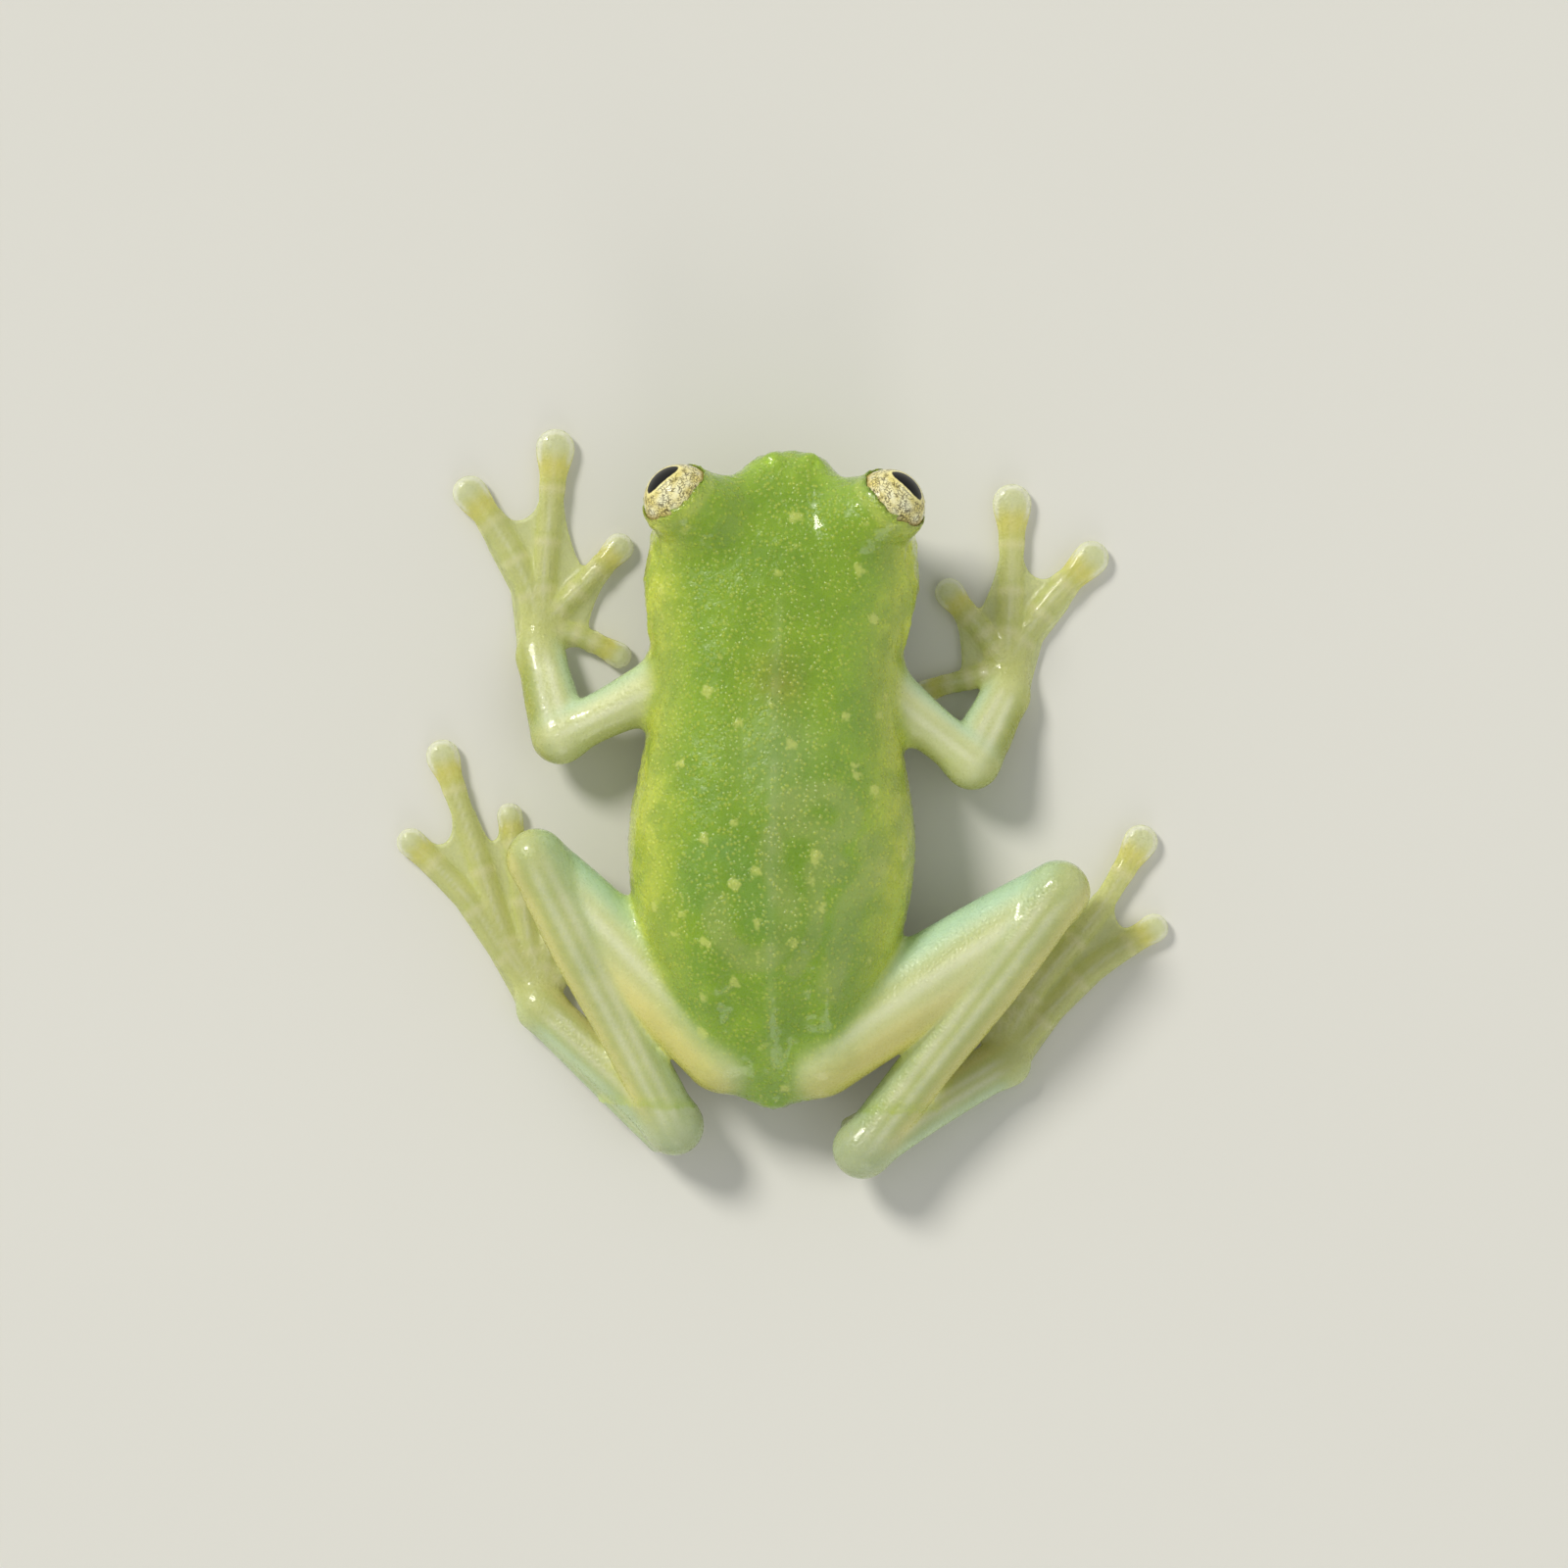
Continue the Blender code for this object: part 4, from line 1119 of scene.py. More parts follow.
def belly_colour(x, y):
    """The belly: clear skin over the pale fat, the dark patches, the loops of the gut, the vein and the
    heart."""
    colour = mix(np.broadcast_to(BELLY, (*x.shape, 3)), FLANK, ease(2.8, 4.6, np.abs(x)))
    colour = mix(colour, CHEST, ease(-5.4, -6.6, y))
    colour = mix(colour, SMOKE, 0.55 * hill(x, y, (-1.72, -5.75), (0.95, 0.55)))
    colour = mix(colour, SMOKE, 0.75 * hill(x, y, (2.18, -5.66), (0.90, 0.80)))
    colour = mix(colour, PALE_FAT, 0.85 * ease(0.25, 0.75, hill(x, y, (-1.00, -4.45), (0.95, 1.35))))
    colour = mix(colour, PALE_FAT, 0.80 * ease(0.25, 0.75, hill(x, y, (0.85, -4.95), (0.80, 1.15))))
    leaf = np.hypot((x - 1.20) / 0.78, (y + 3.05) / (1.15 - 0.25 * (x - 1.2)))
    colour = mix(colour, GREY_BLUE, 0.9 * ease(1.0, 0.8, leaf))
    colour = mix(colour, PALE_FAT, 0.65 * np.exp(-(((leaf - 1.0) / 0.09) ** 2)))
    colour = gut_colour(colour, x, y)
    vein = line_mask(x - 0.02, 0.075 + 0.05 * ease(-5.0, -6.5, y)) * ease(-7.0, -6.6, y) * ease(-2.5, -2.9, y)
    colour = mix(colour, VEIN, 0.85 * vein)
    triangle = hill(x - 0.6 * (y + 2.7), y, (0.02, -2.45), (0.30, 0.55))
    colour = mix(colour, DARK_RED, 0.9 * ease(0.3, 0.8, triangle))
    lower = line_mask(x, 0.10) * ease(3.0, 3.5, y) * ease(6.6, 5.6, y)
    colour = mix(colour, JAW_BROWN, 0.6 * lower)
    return heart_colour(colour, x, y)


def heart_colour(colour, x, y):
    """The heart: a shield, flat at the front and rounded to a point behind, darker at its middle."""
    ahead = (y + 8.45) / 1.75
    half = 0.98 * np.sqrt(np.clip(1.0 - np.clip(ahead, 0.0, 1.0) ** 2.2, 0.0, 1.0))
    half = half * (0.80 + 0.20 * ease(0.0, 0.3, ahead))
    inside = ease(0.10, -0.12, np.abs(x - 0.13) - half) * ease(-8.62, -8.42, y)
    colour = mix(colour, HEART_EDGE, 0.55 * hill(x, y, (0.13, -7.75), (1.15, 1.05)))
    return mix(colour, HEART, inside)


def body_colour(x, y, z, up):
    """The back's skin above and down the flanks, the throat and belly below, and the groin's yellow
    between."""
    low = ease(1.5, 0.6, z) * ease(0.0, -0.35, up)
    line = 2.0 + 0.5 * ease(-10.0, -13.0, y)
    upper = ease(line - 0.75, line + 0.35, z + 0.5 * up)
    from_fold = y - chest_fold(x)
    under = mix(belly_colour(x, y), throat_colour(x, y), ease(0.35, -0.95, from_fold))
    under = mix(under, PALE_FAT, 0.40 * line_mask(from_fold, 0.14))
    flank = mix(np.broadcast_to(FLANK, under.shape), RIM_YELLOW, 0.5)
    colour = mix(flank, under, np.maximum(low, ease(0.1, -0.25, up)))
    colour = mix(colour, back_colour(x, y), upper)
    for eye in EYES.values():
        ahead, level, rise = eye.split(x, y, z)
        from_rim = (np.hypot(level / LID_OPENING[0], rise / LID_OPENING[1]) - 1.0) * min(LID_OPENING)
        from_centre = np.sqrt(ahead**2 + level**2 + rise**2)
        near_eye = ease(LID_RADIUS + 0.35, LID_RADIUS + 0.1, from_centre) * ease(0.0, 0.2, ahead)
        colour = mix(colour, LID_LINE, 0.75 * line_mask(np.maximum(from_rim, 0.0), 0.08) * near_eye)
        colour = mix(colour, SPOT, 0.35 * line_mask(from_rim - 0.22, 0.09) * near_eye)
    # Painted shade: the skin is darker along the mouth's groove.
    mouth_groove_shade = np.exp(-(((z - mouth_height(y)) / 0.09) ** 2)) * ease(MOUTH_CORNER, MOUTH_CORNER - 0.3, y)
    colour = mix(colour, BACK_DEEP, 0.45 * mouth_groove_shade)
    return colour, upper


def limb_colour(kind, side, share, across, up):
    """A limb: clear and pale, darker and greener down its sides as painted shade, with faint fibres and
    bones, yellow on one edge, aqua on the other."""
    # Painted shade: where the skin turns down at the limb's sides, it takes the darker edge colour that a
    # clear gel shows along its longer path.
    flat = ease(0.10, 0.72, np.abs(up))
    colour = mix(np.broadcast_to(LIMB_EDGE_SHADE, (*up.shape, 3)), LIMB, flat)
    outer = across * (1 if side == "left" else -1)
    middle = ease(0.95, 0.55, np.abs(across))
    if kind == "thigh":
        colour = mix(colour, LIMB_YELLOW, 0.62 * ease(0.0, 0.7, outer) * ease(0.9, 0.2, share))
        colour = mix(colour, LIMB_AQUA, 0.75 * ease(-0.15, -0.80, outer))
    elif kind in ("shank", "tarsus"):
        colour = mix(colour, LIMB_DEEP, 0.42 * middle)
        colour = mix(colour, LIMB_AQUA, 0.45 * ease(0.15, 0.85, outer))
        colour = mix(colour, LIMB_YELLOW, 0.45 * ease(-0.3, -0.9, outer))
        heel = ease(0.84, 1.0, share) if kind == "shank" else ease(0.14, -0.05, share)
        colour = mix(colour, HEEL_GREY, 0.60 * heel)
    else:
        rim = (0.85 if kind == "forearm" else 0.35) * ease(0.25, 0.80, outer)
        colour = mix(colour, OLIVE_RIM, rim)
        colour = mix(colour, LIMB_AQUA, 0.55 * ease(-0.35, -0.9, outer))
    fibres = 0.5 + 0.5 * np.sin(across * 7.0 + 1.5 * np.sin(share * 5.0 + across * 2.0))
    colour = mix(colour, LIMB_DEEP, 0.16 * fibres * middle)
    if kind in ("shank", "forearm", "tarsus"):
        from_bone = np.abs(across) - 0.24
    else:
        from_bone = across + 0.0
    ends = ease(-0.05, 0.10, share) * ease(1.05, 0.9, share)
    colour = mix(colour, LIMB_DEEP, 0.22 * line_mask(np.abs(from_bone) - 0.26, 0.13) * ends)
    return mix(colour, LIMB_BONE, 0.40 * line_mask(from_bone, 0.15) * ends)


def digit_colour(form, run, across, x, y):
    """A digit: painted shade along its edges, pale knuckles each with a painted line of shade past it, gold
    that fades out into the disc, and a clear tip with a painted highlight round its rim."""
    facts = form.facts
    end, heading, disc = facts["end"], facts["heading"], facts["disc"]
    past = (x - end[0]) * heading[0] + (y - end[1]) * heading[1]
    to_end = facts["length"] - run - np.maximum(past, 0.0)
    # Painted shade: the digit darkens towards its edges.
    edge = ease(0.55, 0.95, np.abs(across))
    colour = mix(np.broadcast_to(DIGIT, (*x.shape, 3)), LIMB_EDGE_SHADE, 0.45 * edge)
    colour = mix(colour, LIMB_BONE, 0.45 * line_mask(across, 0.16))
    colour = mix(colour, LIMB_DEEP, 0.28 * line_mask(np.abs(across) - 0.34, 0.10))
    for knuckle in facts["knuckles"]:
        colour = mix(colour, DIGIT_BAND, 0.65 * line_mask(run - knuckle, 0.17))
        # Painted shade: a darker line just past each knuckle.
        colour = mix(colour, LIMB_EDGE_SHADE, 0.40 * line_mask(run - knuckle - 0.34, 0.14))
    colour = mix(colour, DIGIT_GOLD, 0.62 * line_mask(to_end - 0.95 * disc, 0.85 * disc))
    clear = ease(0.85 * disc, -0.35 * disc, to_end)
    colour = mix(colour, DISC, 0.9 * clear)
    # Painted highlight: a bright ring just inside the disc's edge, as on wet glass.
    rim = ease(0.66, 0.80, np.abs(across)) * ease(1.02, 0.88, np.abs(across))
    return mix(colour, DISC_RIM_HIGHLIGHT, 0.75 * rim * ease(1.1 * disc, 0.4 * disc, to_end))


def form_colour(form, along, across, x, y, z, up):
    """A form's colour at its places, painted shade and highlights included, and how far the green grained
    skin covers it.
    """
    if form.kind in ("body", "orbit", "nostril", "lid"):
        return body_colour(x, y, z, up)
    top = ease(0.0, 0.7, up)
    if form.kind in ("finger", "toe"):
        outermost = form.number == (4 if form.kind == "finger" else 5)
        return digit_colour(form, along, across, x, y), (0.20 if outermost else 0.0) * top
    if form.kind in ("hand", "foot"):
        return mix(np.broadcast_to(DIGIT, (*x.shape, 3)), LIMB_TOP, 0.25 * top), 0.05 * top
    if form.kind in ("hand_web", "foot_web"):
        # Painted shade: the web is darker towards its free edge.
        colour = mix(np.broadcast_to(WEB, (*x.shape, 3)), LIMB_EDGE_SHADE, 0.35 * ease(-0.22, 0.05, along))
        return colour, 0.0 * top
    outer = across * (1 if form.side == "left" else -1)
    cover = {"upper_arm": 0.10, "forearm": 0.65, "thigh": 0.15, "shank": 0.35, "tarsus": 0.25}[form.kind]
    if form.kind == "forearm":
        cover = cover * ease(0.0, 0.6, outer)
    return limb_colour(form.kind, form.side, along, across, up), cover * ease(-0.4, 0.5, up)


# How much of what is behind shows through the skin of each kind of form
CLEARNESS = {
    "upper_arm": 0.14,
    "forearm": 0.24,
    "thigh": 0.10,
    "shank": 0.20,
    "tarsus": 0.30,
    "hand": 0.40,
    "foot": 0.40,
    "finger": 0.46,
    "toe": 0.46,
    "hand_web": 0.66,
    "foot_web": 0.66,
}


def skin_colours(points, outward):
    """Each point's colour, grain and clearness: the mean over the forms, weighted by how close their
    surfaces are."""
    places = Places(*points.T, crossing=False)
    weight = np.full(len(points), 1e-9)
    colour = np.zeros((len(points), 3))
    grain = np.zeros(len(points))
    clear = np.zeros(len(points))
    for form in FORMS:
        index, x, y, z = places.near(form.low, form.high)
        if not len(index):
            continue
        distance, along, across = form.measure(x, y, z)
        near = np.exp(-np.clip(distance, 0.0, 3.0) / (0.28 if form.kind == "body" else 0.10))
        rise = outward[index, 2]
        own, cover = form_colour(form, along, across, x, y, z, rise)
        colour[index] += own * near[:, None]
        grain[index] += cover * near
        clear[index] += CLEARNESS.get(form.kind, 0.0) * (0.5 + 0.5 * ease(0.2, 0.8, np.abs(rise))) * near
        weight[index] += near
    return colour / weight[:, None], grain / weight, clear / weight


GRANULE_SIZE = 0.40
GRANULE_HEIGHT = 0.040


def granules(points):
    """Low round bumps: one less the distance to the nearest of scattered centres, one centre in each small
    cube."""
    where = points / GRANULE_SIZE
    cube = np.floor(where)
    nearest = np.full(len(points), 9.0)
    for step in np.ndindex(3, 3, 3):
        corner = cube + np.array(step) - 1.0
        centre = corner + scatter(corner)
        nearest = np.minimum(nearest, ((where - centre) ** 2).sum(1))
    return ease(0.62, 0.05, np.sqrt(nearest))


def scatter(corner):
    """Three even-looking numbers between 0 and 1 for each cube: the broken parts of sines of its place."""
    mixed = corner @ np.array(((127.1, 269.5, 113.5), (311.7, 183.3, 271.9), (74.7, 246.1, 124.6)))
    return np.sin(mixed) * 43758.5453 % 1.0


def new_mesh(name, points, faces, material):
    """A mesh object at the origin, from points in millimetres."""
    mesh = bpy.data.meshes.new(name)
    mesh.from_pydata((points * MM).tolist(), [], faces.tolist() if hasattr(faces, "tolist") else faces)
    mesh.shade_smooth()
    mesh.materials.append(material)
    made = bpy.data.objects.new(name, mesh)
    bpy.context.scene.collection.objects.link(made)
    return made


def give_colours(mesh, name, colour):
    """Gives a mesh one colour for each point."""
    layer = mesh.color_attributes.new(name, "FLOAT_COLOR", "POINT")
    values = np.ones((len(colour), 4), np.float32)
    values[:, :3] = colour
    layer.data.foreach_set("color", values.ravel())


def give_numbers(mesh, name, numbers):
    """Gives a mesh one number for each point."""
    layer = mesh.attributes.new(name, "FLOAT", "POINT")
    layer.data.foreach_set("value", numbers.astype(np.float32))


# Shader maths


class Value:
    """A socket of a finish. Sums and products of sockets and numbers add their Math nodes."""

    def __init__(self, finish, socket):
        self.finish, self.socket = finish, socket

    def _math(self, operation, a, b):
        """Adds a Math node."""
        return self.finish.node("ShaderNodeMath", {"operation": operation}, {0: a, 1: b})

    def __add__(self, other):
        return self._math("ADD", self, other)

    __radd__ = __add__

    def __sub__(self, other):
        return self._math("SUBTRACT", self, other)

    def __rsub__(self, other):
        return self._math("SUBTRACT", other, self)

    def __mul__(self, other):
        return self._math("MULTIPLY", self, other)

    __rmul__ = __mul__

    def __pow__(self, power):
        return self._math("POWER", self, power)

    def over(self, low, high):
        """Rises from 0 to 1 as the value goes from low to high, with eased ends."""
        settings = {"interpolation_type": "SMOOTHSTEP"}
        values = {"Value": self, "From Min": low, "From Max": high}
        return self.finish.node("ShaderNodeMapRange", settings, values)


class Finish:
    """A material, whose nodes are added one by one."""

    def __init__(self, name):
        self.material = bpy.data.materials.new(name)
        self.material.use_nodes = True
        self.tree = self.material.node_tree
        self.shader = self.tree.nodes["Principled BSDF"]

    def node(self, kind, settings, values, output=0):
        """Adds a node: its settings first, then its sockets' values or links. Gives one of its outputs."""
        node = self.tree.nodes.new(kind)
        for name, setting in settings.items():
            setattr(node, name, setting)
        for name, value in values.items():
            self.feed(node.inputs[name], value)
        return Value(self, node.outputs[output])

    def feed(self, socket, value):
        """Links a value to a socket, or sets the socket to a plain number or colour."""
        if isinstance(value, Value):
            self.tree.links.new(value.socket, socket)
        else:
            socket.default_value = value

    def shade(self, **values):
        """Sets sockets of the surface shader, whose names are written with underscores."""
        for name, value in values.items():
            self.feed(self.shader.inputs[name.replace("_", " ").title().replace("Ior", "IOR")], value)

    def mixed(self, factor, a, b):
        """Two colours, mixed by a factor. Plain colours are given as red, green and blue."""
        a, b = (v if isinstance(v, Value) else (*v, 1.0) for v in (a, b))
        return self.node("ShaderNodeMix", {"data_type": "RGBA"}, {0: factor, 6: a, 7: b}, output=2)

    def attribute(self, name, output="Fac"):
        """An attribute of the mesh."""
        return self.node("ShaderNodeAttribute", {"attribute_name": name}, {}, output)

    def place(self):
        """The place on the piece, in millimetres."""
        where = self.node("ShaderNodeTexCoord", {}, {}, "Object")
        return self.node("ShaderNodeVectorMath", {"operation": "SCALE"}, {0: where, "Scale": 1 / MM})

    def noise(self, where, per_mm, detail=2.0, roughness=0.5, output="Fac"):
        """Soft noise with so many waves in a millimetre."""
        values = {"Vector": where, "Scale": per_mm, "Detail": detail, "Roughness": roughness}
        return self.node("ShaderNodeTexNoise", {}, values, output)

    def cells(self, where, per_mm, output="Distance", feature="F1"):
        """Scattered cells, so many in a millimetre: the distance to the nearest middle, or to an edge."""
        values = {"Vector": where, "Scale": per_mm}
        return self.node("ShaderNodeTexVoronoi", {"feature": feature}, values, output)

    def shifted(self, where, by, amount):
        """A place, moved by an amount of another value."""
        values = {0: by, 1: (amount,) * 3, 2: where}
        return self.node("ShaderNodeVectorMath", {"operation": "MULTIPLY_ADD"}, values)

    def bump(self, height, depth, strength=1.0):
        """A normal from a height between 0 and 1, whose full depth is given in millimetres."""
        values = {"Height": height, "Distance": depth * MM, "Strength": strength}
        return self.node("ShaderNodeBump", {}, values, "Normal")


def skin_finish():
    """Wet skin: the colours of its points, painted shade and highlights included, with fine grains, pale
    spots and dark flecks where the green skin covers it."""
    finish = Finish("clear_green_skin")
    where = finish.place()
    colour = finish.attribute("flesh_tone", "Color")
    cover = finish.attribute("grain")
    clear = finish.attribute("clearness")
    fine = finish.noise(where, 9.0, 3.0, 0.6)
    soft = finish.noise(where, 0.8, 3.0)
    grain_top = 1.0 - finish.cells(where, 5.4).over(0.05, 0.55)
    grain_area = finish.noise(where, 1.3, 2.0).over(0.35, 0.62)
    colour = finish.mixed(soft.over(0.38, 0.66) * cover * 0.42, colour, BACK_DEEP)
    colour = finish.mixed(grain_top * cover * (grain_area * 0.28 + 0.12), colour, RIM_YELLOW)
    colour = finish.mixed((1.0 - grain_top) * fine.over(0.40, 0.65) * cover * 0.30, colour, BACK_DEEP)
    bent = finish.noise(where, 2.6, 3.0, output="Color")
    bent = finish.shifted(where, bent, 0.55)
    size = finish.cells(bent, 0.95, output="Color")
    size = finish.node("ShaderNodeSeparateColor", {}, {0: size})
    spot = 1.0 - (finish.cells(bent, 0.95) - size * 0.14).over(0.01, 0.16)
    spot = spot * size.over(0.30, 0.50) * cover.over(0.5, 0.9)
    colour = finish.mixed(spot * 0.50, colour, SPOT)
    flecks = 1.0 - finish.cells(where, 3.4).over(0.05, 0.15)
    fleck_area = finish.noise(where, 0.45, 1.0).over(0.50, 0.64)
    colour = finish.mixed(flecks * fleck_area * cover.over(0.15, 0.5) * 0.50, colour, FLECK)
    pebbles = 1.0 - finish.cells(where, 7.5).over(0.0, 0.7)
    relief = grain_top * cover * 0.8 + pebbles * (1.0 - cover) * 0.45 + fine * 0.35 + spot * 0.4
    finish.shader.subsurface_method = "BURLEY"
    finish.shade(
        base_color=colour,
        roughness=fine.over(0.2, 0.8) * 0.14 + 0.22,
        normal=finish.bump(relief, 0.050, 1.0),
        alpha=1.0 - clear,
        subsurface_weight=0.90,
        subsurface_radius=(1.0, 0.95, 0.50),
        subsurface_scale=0.8 * MM,
        coat_weight=0.85,
        coat_roughness=0.07,
        coat_ior=1.33,
        ior=1.42,
    )
    return finish.material


def build_skin():
    """The one skin of the head, trunk and limbs."""
    points, quads, outward = skin_shape()
    colour, grain, clear = skin_colours(points, outward)
    points = points + outward * (GRANULE_HEIGHT * grain * (granules(points) - 0.3))[:, None]
    skin = new_mesh("skin", points, quads, skin_finish())
    give_colours(skin.data, "flesh_tone", colour)
    give_numbers(skin.data, "grain", grain)
    give_numbers(skin.data, "clearness", clear)
    return skin


# The eyes

EYE_RINGS = 56
EYE_SEGMENTS = 80
CORNEA_RISE = 0.035
IRIS_GOLD = tone(230, 216, 134)
IRIS_PALE = tone(250, 246, 204)
IRIS_NET = tone(58, 46, 20)
IRIS_FLECK = tone(112, 92, 40)
PUPIL_RIM = tone(250, 238, 160)
IRIS_RIM = tone(176, 142, 48)
IRIS_EDGE = tone(58, 48, 18)
PUPIL = tone(4, 4, 6)


def eyeball(side, material):
    """A ball whose rings run round the gaze, a little fuller over the iris, closed by one point at each
    pole."""
    eye = EYES[side]
    polar = np.linspace(0.0, math.pi, EYE_RINGS + 1)[1:-1, None]
    turn = np.linspace(0.0, 2 * math.pi, EYE_SEGMENTS, endpoint=False)[None, :]
    radius = EYE_RADIUS * (1.0 + CORNEA_RISE * np.exp(-((polar / 0.75) ** 2)))
    level = np.sin(polar) * np.cos(turn)
    up = np.sin(polar) * np.sin(turn)
    ahead = np.cos(polar) + 0.0 * turn
    parts, directions = (ahead, level, up), (eye.axis, eye.level, eye.up)
    shape = [(radius * part)[..., None] * direction for part, direction in zip(parts, directions)]
    points = eye.centre + sum(shape)
    front = eye.centre + eye.axis * EYE_RADIUS * (1.0 + CORNEA_RISE)
    points = np.concatenate([points.reshape(-1, 3), [front], [eye.centre - eye.axis * EYE_RADIUS]])
    rows = EYE_RINGS - 1
    i, j = np.meshgrid(np.arange(rows - 1), np.arange(EYE_SEGMENTS), indexing="ij")
    k = (j + 1) % EYE_SEGMENTS
    here, after = i * EYE_SEGMENTS, (i + 1) * EYE_SEGMENTS
    quads = np.stack([here + j, here + k, after + k, after + j], -1)
    j = np.arange(EYE_SEGMENTS)
    k = (j + 1) % EYE_SEGMENTS
    first = np.full_like(j, rows * EYE_SEGMENTS)
    base = (rows - 1) * EYE_SEGMENTS
    faces = quads.reshape(-1, 4).tolist()
    faces += np.stack([first, k, j], -1).tolist()
    faces += np.stack([first + 1, base + j, base + k], -1).tolist()
    if np.dot(np.cross(eye.level, eye.up), eye.axis) > 0:
        faces = [face[::-1] for face in faces]
    made = new_mesh("eyeball_" + side, points, faces, material)
    angle = np.concatenate([(polar + 0.0 * turn).ravel(), [0.0, math.pi]])
    gaze = np.stack(
        [
            np.concatenate([(polar * np.cos(turn)).ravel(), [0.0, 0.0]]),
            np.concatenate([(polar * np.sin(turn)).ravel(), [0.0, 0.0]]),
            angle,
        ],
        axis=1,
    )
    layer = made.data.attributes.new("gaze", "FLOAT_VECTOR", "POINT")
    layer.data.foreach_set("vector", gaze.astype(np.float32).ravel())
    return made


PUPIL_HALF = (0.56, 0.27)


def eye_finish():
    """A pale gold iris with a dark net, a level black pupil with a bright edge, and a clear wet coat."""
    finish = Finish("gold_iris")
    gaze = finish.attribute("gaze", "Vector")
    level = finish.node("ShaderNodeSeparateXYZ", {}, {0: gaze})
    up, angle = (Value(finish, level.socket.node.outputs[k]) for k in (1, 2))
    ragged = finish.noise(gaze, 9.0, 2.0) * 0.10 - 0.05
    wide = finish.node("ShaderNodeMath", {"operation": "ABSOLUTE"}, {0: level * (1 / PUPIL_HALF[0])})
    tall = finish.node("ShaderNodeMath", {"operation": "ABSOLUTE"}, {0: up * (1 / PUPIL_HALF[1])})
    reach = wide**2.3 + tall**2.0 + ragged * 2.0
    pupil = 1.0 - reach.over(0.86, 1.02)
    edge = (1.0 - reach.over(1.10, 1.75)) * (1.0 - pupil)
    bent = finish.noise(gaze, 6.0, 3.0, output="Color")
    bent = finish.shifted(gaze, bent, 0.30)
    net = finish.cells(bent, 7.5, feature="DISTANCE_TO_EDGE")
    lines = 1.0 - net.over(0.02, 0.16)
    patches = finish.noise(gaze, 3.4, 3.0).over(0.34, 0.56)
    cloud = finish.noise(gaze, 2.0, 2.0)
    colour = finish.mixed(cloud.over(0.3, 0.7), IRIS_GOLD, IRIS_PALE)
    colour = finish.mixed(lines * patches * 0.85, colour, IRIS_NET)
    fine = finish.noise(gaze, 24.0, 2.0).over(0.52, 0.66)
    colour = finish.mixed(fine * 0.38, colour, IRIS_FLECK)
    colour = finish.mixed(edge * 0.75, colour, PUPIL_RIM)
    colour = finish.mixed(angle.over(1.02, 1.25) * 0.70, colour, IRIS_RIM)
    colour = finish.mixed(angle.over(1.22, 1.42), colour, IRIS_EDGE)
    colour = finish.mixed(pupil, colour, PUPIL)
    finish.shade(
        base_color=colour,
        roughness=0.40,
        specular_ior_level=0.15,
        coat_weight=1.0,
        coat_roughness=0.02,
        coat_ior=1.18,
    )
    return finish.material


# Floor, lights and camera

FLOOR_TONE = tone(226, 224, 216)
PHOTO_PIXEL = 0.03736
PHOTO_SIDE = 1600
PICTURE_CENTRE = (-0.19, -3.74)
PICTURE_TURN = math.radians(1.37)
PICTURE_PLANE = 2.5
CAMERA_HEIGHT = 220.0
SENSOR = 36.0


def build_floor():
    """A wide pale floor with a very faint mottle."""
    finish = Finish("pale_floor")
    mottle = finish.noise(finish.place(), 0.02, 3.0)
    finish.shade(
        base_color=finish.mixed(mottle, FLOOR_TONE, FLOOR_TONE * 0.95),
        roughness=0.75,
    )
    reach = 1800.0
    corners = reach * np.array([(-1.0, -1.0, 0.0), (1.0, -1.0, 0.0), (1.0, 1.0, 0.0), (-1.0, 1.0, 0.0)])
    floor = new_mesh("floor", corners, [(0, 1, 2, 3)], finish.material)
    floor.data.transform(Matrix.Translation((0, 0, -0.01 * MM)))


def add_lamp(name, towards, strength, spread, colour):
    """A far soft lamp: its light comes from the given direction, from a disc of the given angle."""
    lamp = bpy.data.lights.new(name, "SUN")
    lamp.energy, lamp.angle, lamp.color = strength, math.radians(spread), colour
    made = bpy.data.objects.new(name, lamp)
    bpy.context.scene.collection.objects.link(made)
    made.location = Vector(towards).normalized() * 0.4
    made.rotation_euler = Vector(towards).to_track_quat("Z", "Y").to_euler()


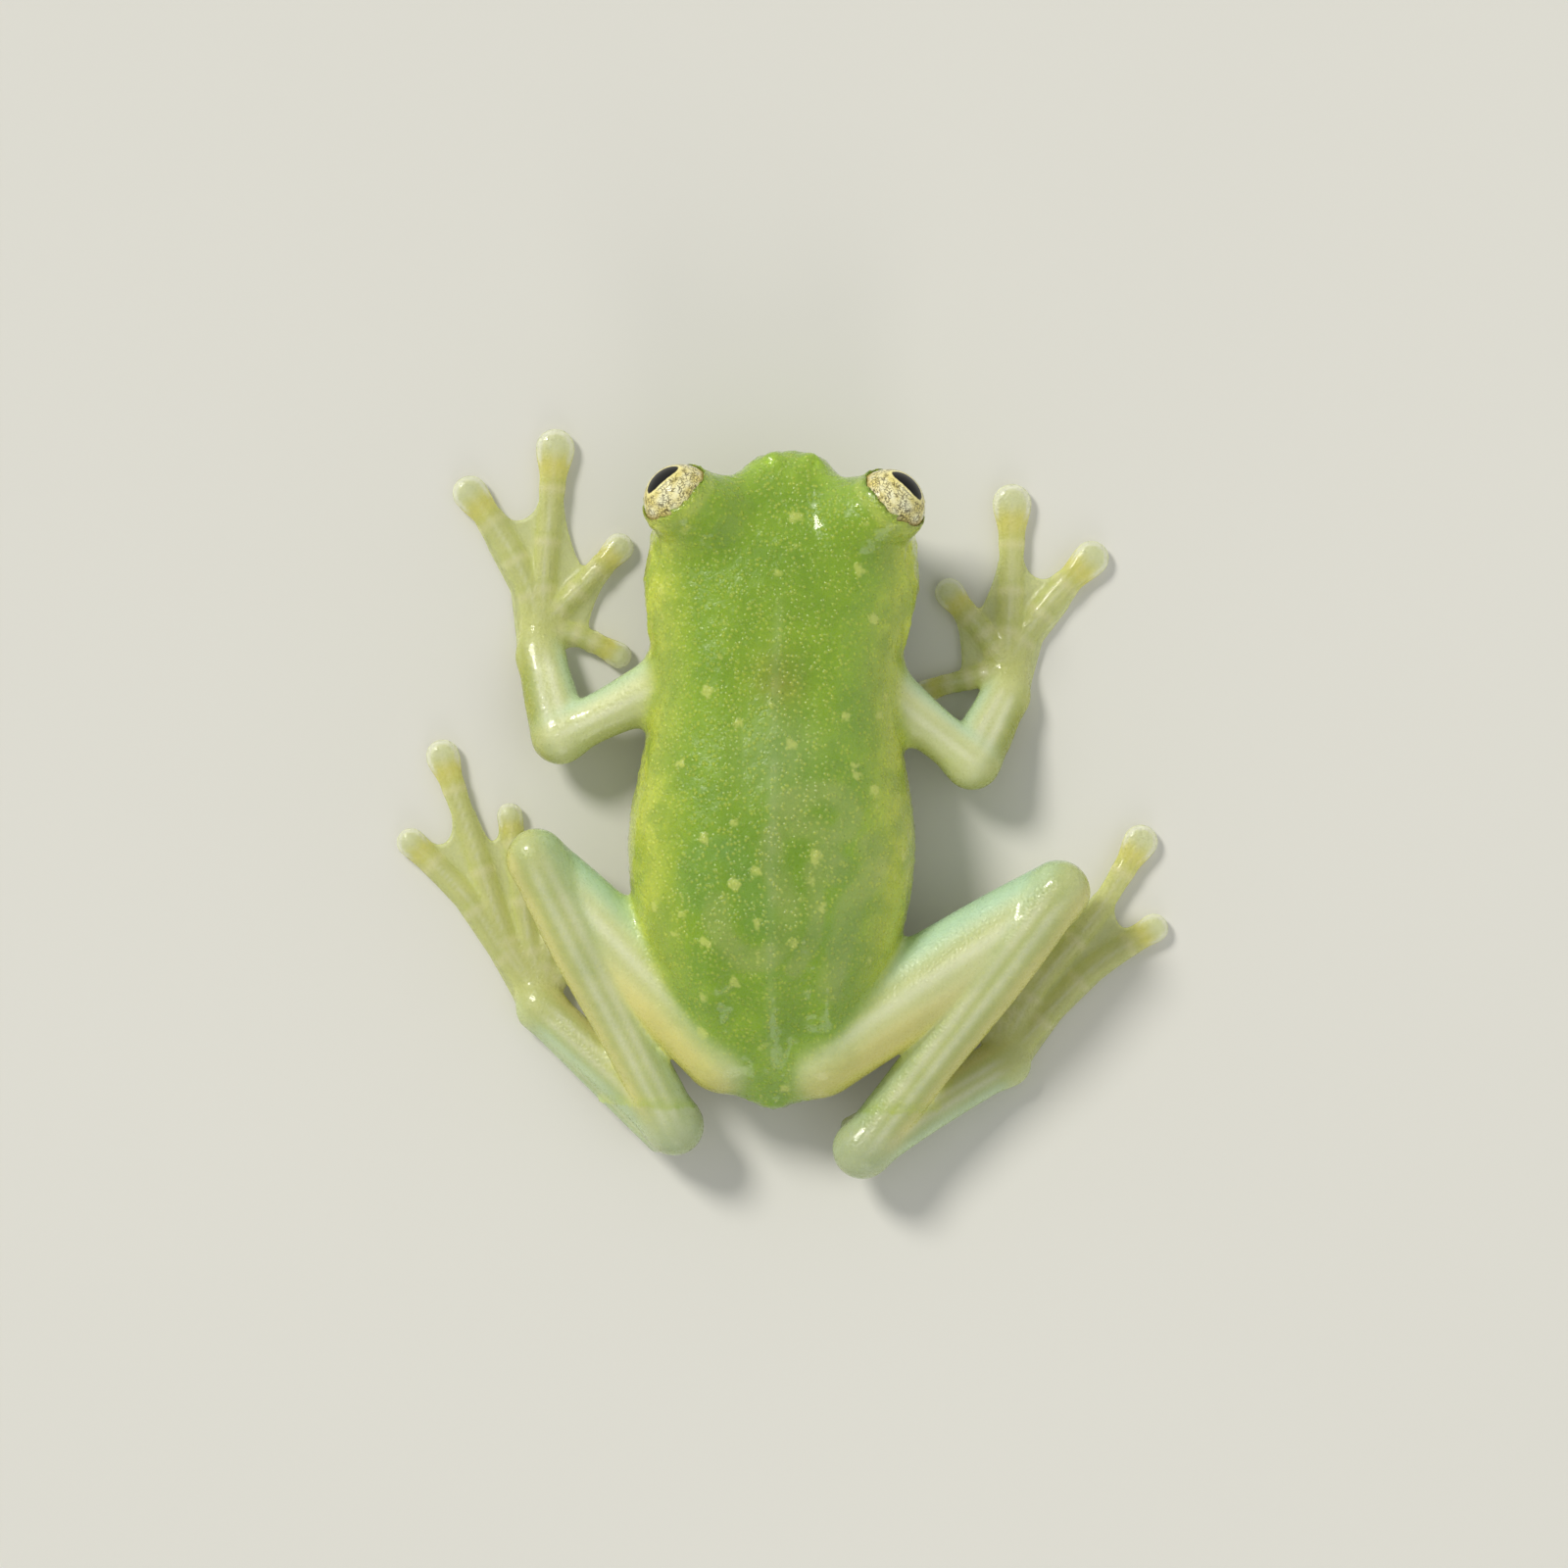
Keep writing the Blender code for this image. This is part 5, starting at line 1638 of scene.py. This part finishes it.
def build_surround():
    """A pale room, bright at the level of the floor and dimmer overhead, so that wet edges catch light."""
    world = bpy.data.worlds.new("surround")
    world.use_nodes = True
    tree = world.node_tree
    direction = tree.nodes.new("ShaderNodeTexCoord")
    split = tree.nodes.new("ShaderNodeSeparateXYZ")
    ramp = tree.nodes.new("ShaderNodeValToRGB")
    tree.links.new(direction.outputs["Generated"], split.inputs[0])
    tree.links.new(split.outputs[2], ramp.inputs[0])
    stops = ((0.0, 0.80), (0.10, 0.72), (0.45, 0.42), (1.0, 0.34))
    while len(ramp.color_ramp.elements) < len(stops):
        ramp.color_ramp.elements.new(0.5)
    for element, (place, level) in zip(ramp.color_ramp.elements, stops):
        element.position = place
        element.color = (level * 0.98, level, level * 1.0, 1.0)
    tree.links.new(ramp.outputs[0], tree.nodes["Background"].inputs["Color"])
    bpy.context.scene.world = world


def build_lights():
    """A soft key over the frog's left shoulder, a wide fill from the right, and a low light from behind
    the vent."""
    add_lamp("key", (0.62, -0.60, 0.75), 2.2, 16.0, (1.0, 0.98, 0.92))
    add_lamp("fill", (-0.9, 0.2, 0.7), 0.35, 60.0, (0.94, 0.98, 1.0))
    add_lamp("rim", (-0.15, 0.85, 0.40), 0.36, 25.0, (1.0, 0.98, 0.93))
    build_surround()


def build_camera():
    """Looks straight down on the back, with the head at the top and the small tilt of the framing."""
    camera = bpy.data.objects.new("camera", bpy.data.cameras.new("camera"))
    bpy.context.scene.collection.objects.link(camera)
    camera.data.sensor_width = SENSOR
    camera.data.lens = SENSOR * CAMERA_HEIGHT / (PHOTO_PIXEL * PHOTO_SIDE)
    camera.data.clip_start, camera.data.clip_end = 10 * MM, 5000 * MM
    right = Vector((-math.cos(PICTURE_TURN), -math.sin(PICTURE_TURN), 0.0))
    up = Vector((math.sin(PICTURE_TURN), -math.cos(PICTURE_TURN), 0.0))
    turn = Matrix((right, up, right.cross(up))).transposed().to_4x4()
    place = Vector((*PICTURE_CENTRE, PICTURE_PLANE + CAMERA_HEIGHT)) * MM
    camera.matrix_world = Matrix.Translation(place) @ turn
    bpy.context.scene.camera = camera


def build():
    """Puts the frog together on its frame."""
    skin = build_skin()
    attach(skin, "root")
    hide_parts(*[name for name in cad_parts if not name.startswith("eye_")])
    iris = eye_finish()
    for side in SIDES:
        ball = eyeball(side, iris)
        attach(ball, "root")
        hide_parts("eye_" + side)
    build_floor()
    build_lights()
    build_camera()


def settle_light():
    """Plain colours, and only as many bounces of light as wet, clear skin needs."""
    scene = bpy.context.scene
    scene.view_settings.view_transform = "Standard"
    scene.cycles.max_bounces = 7
    scene.cycles.diffuse_bounces = 3
    scene.cycles.glossy_bounces = 2
    scene.cycles.transmission_bounces = 2
    scene.cycles.caustics_reflective = False
    scene.cycles.caustics_refractive = False


build()
settle_light()
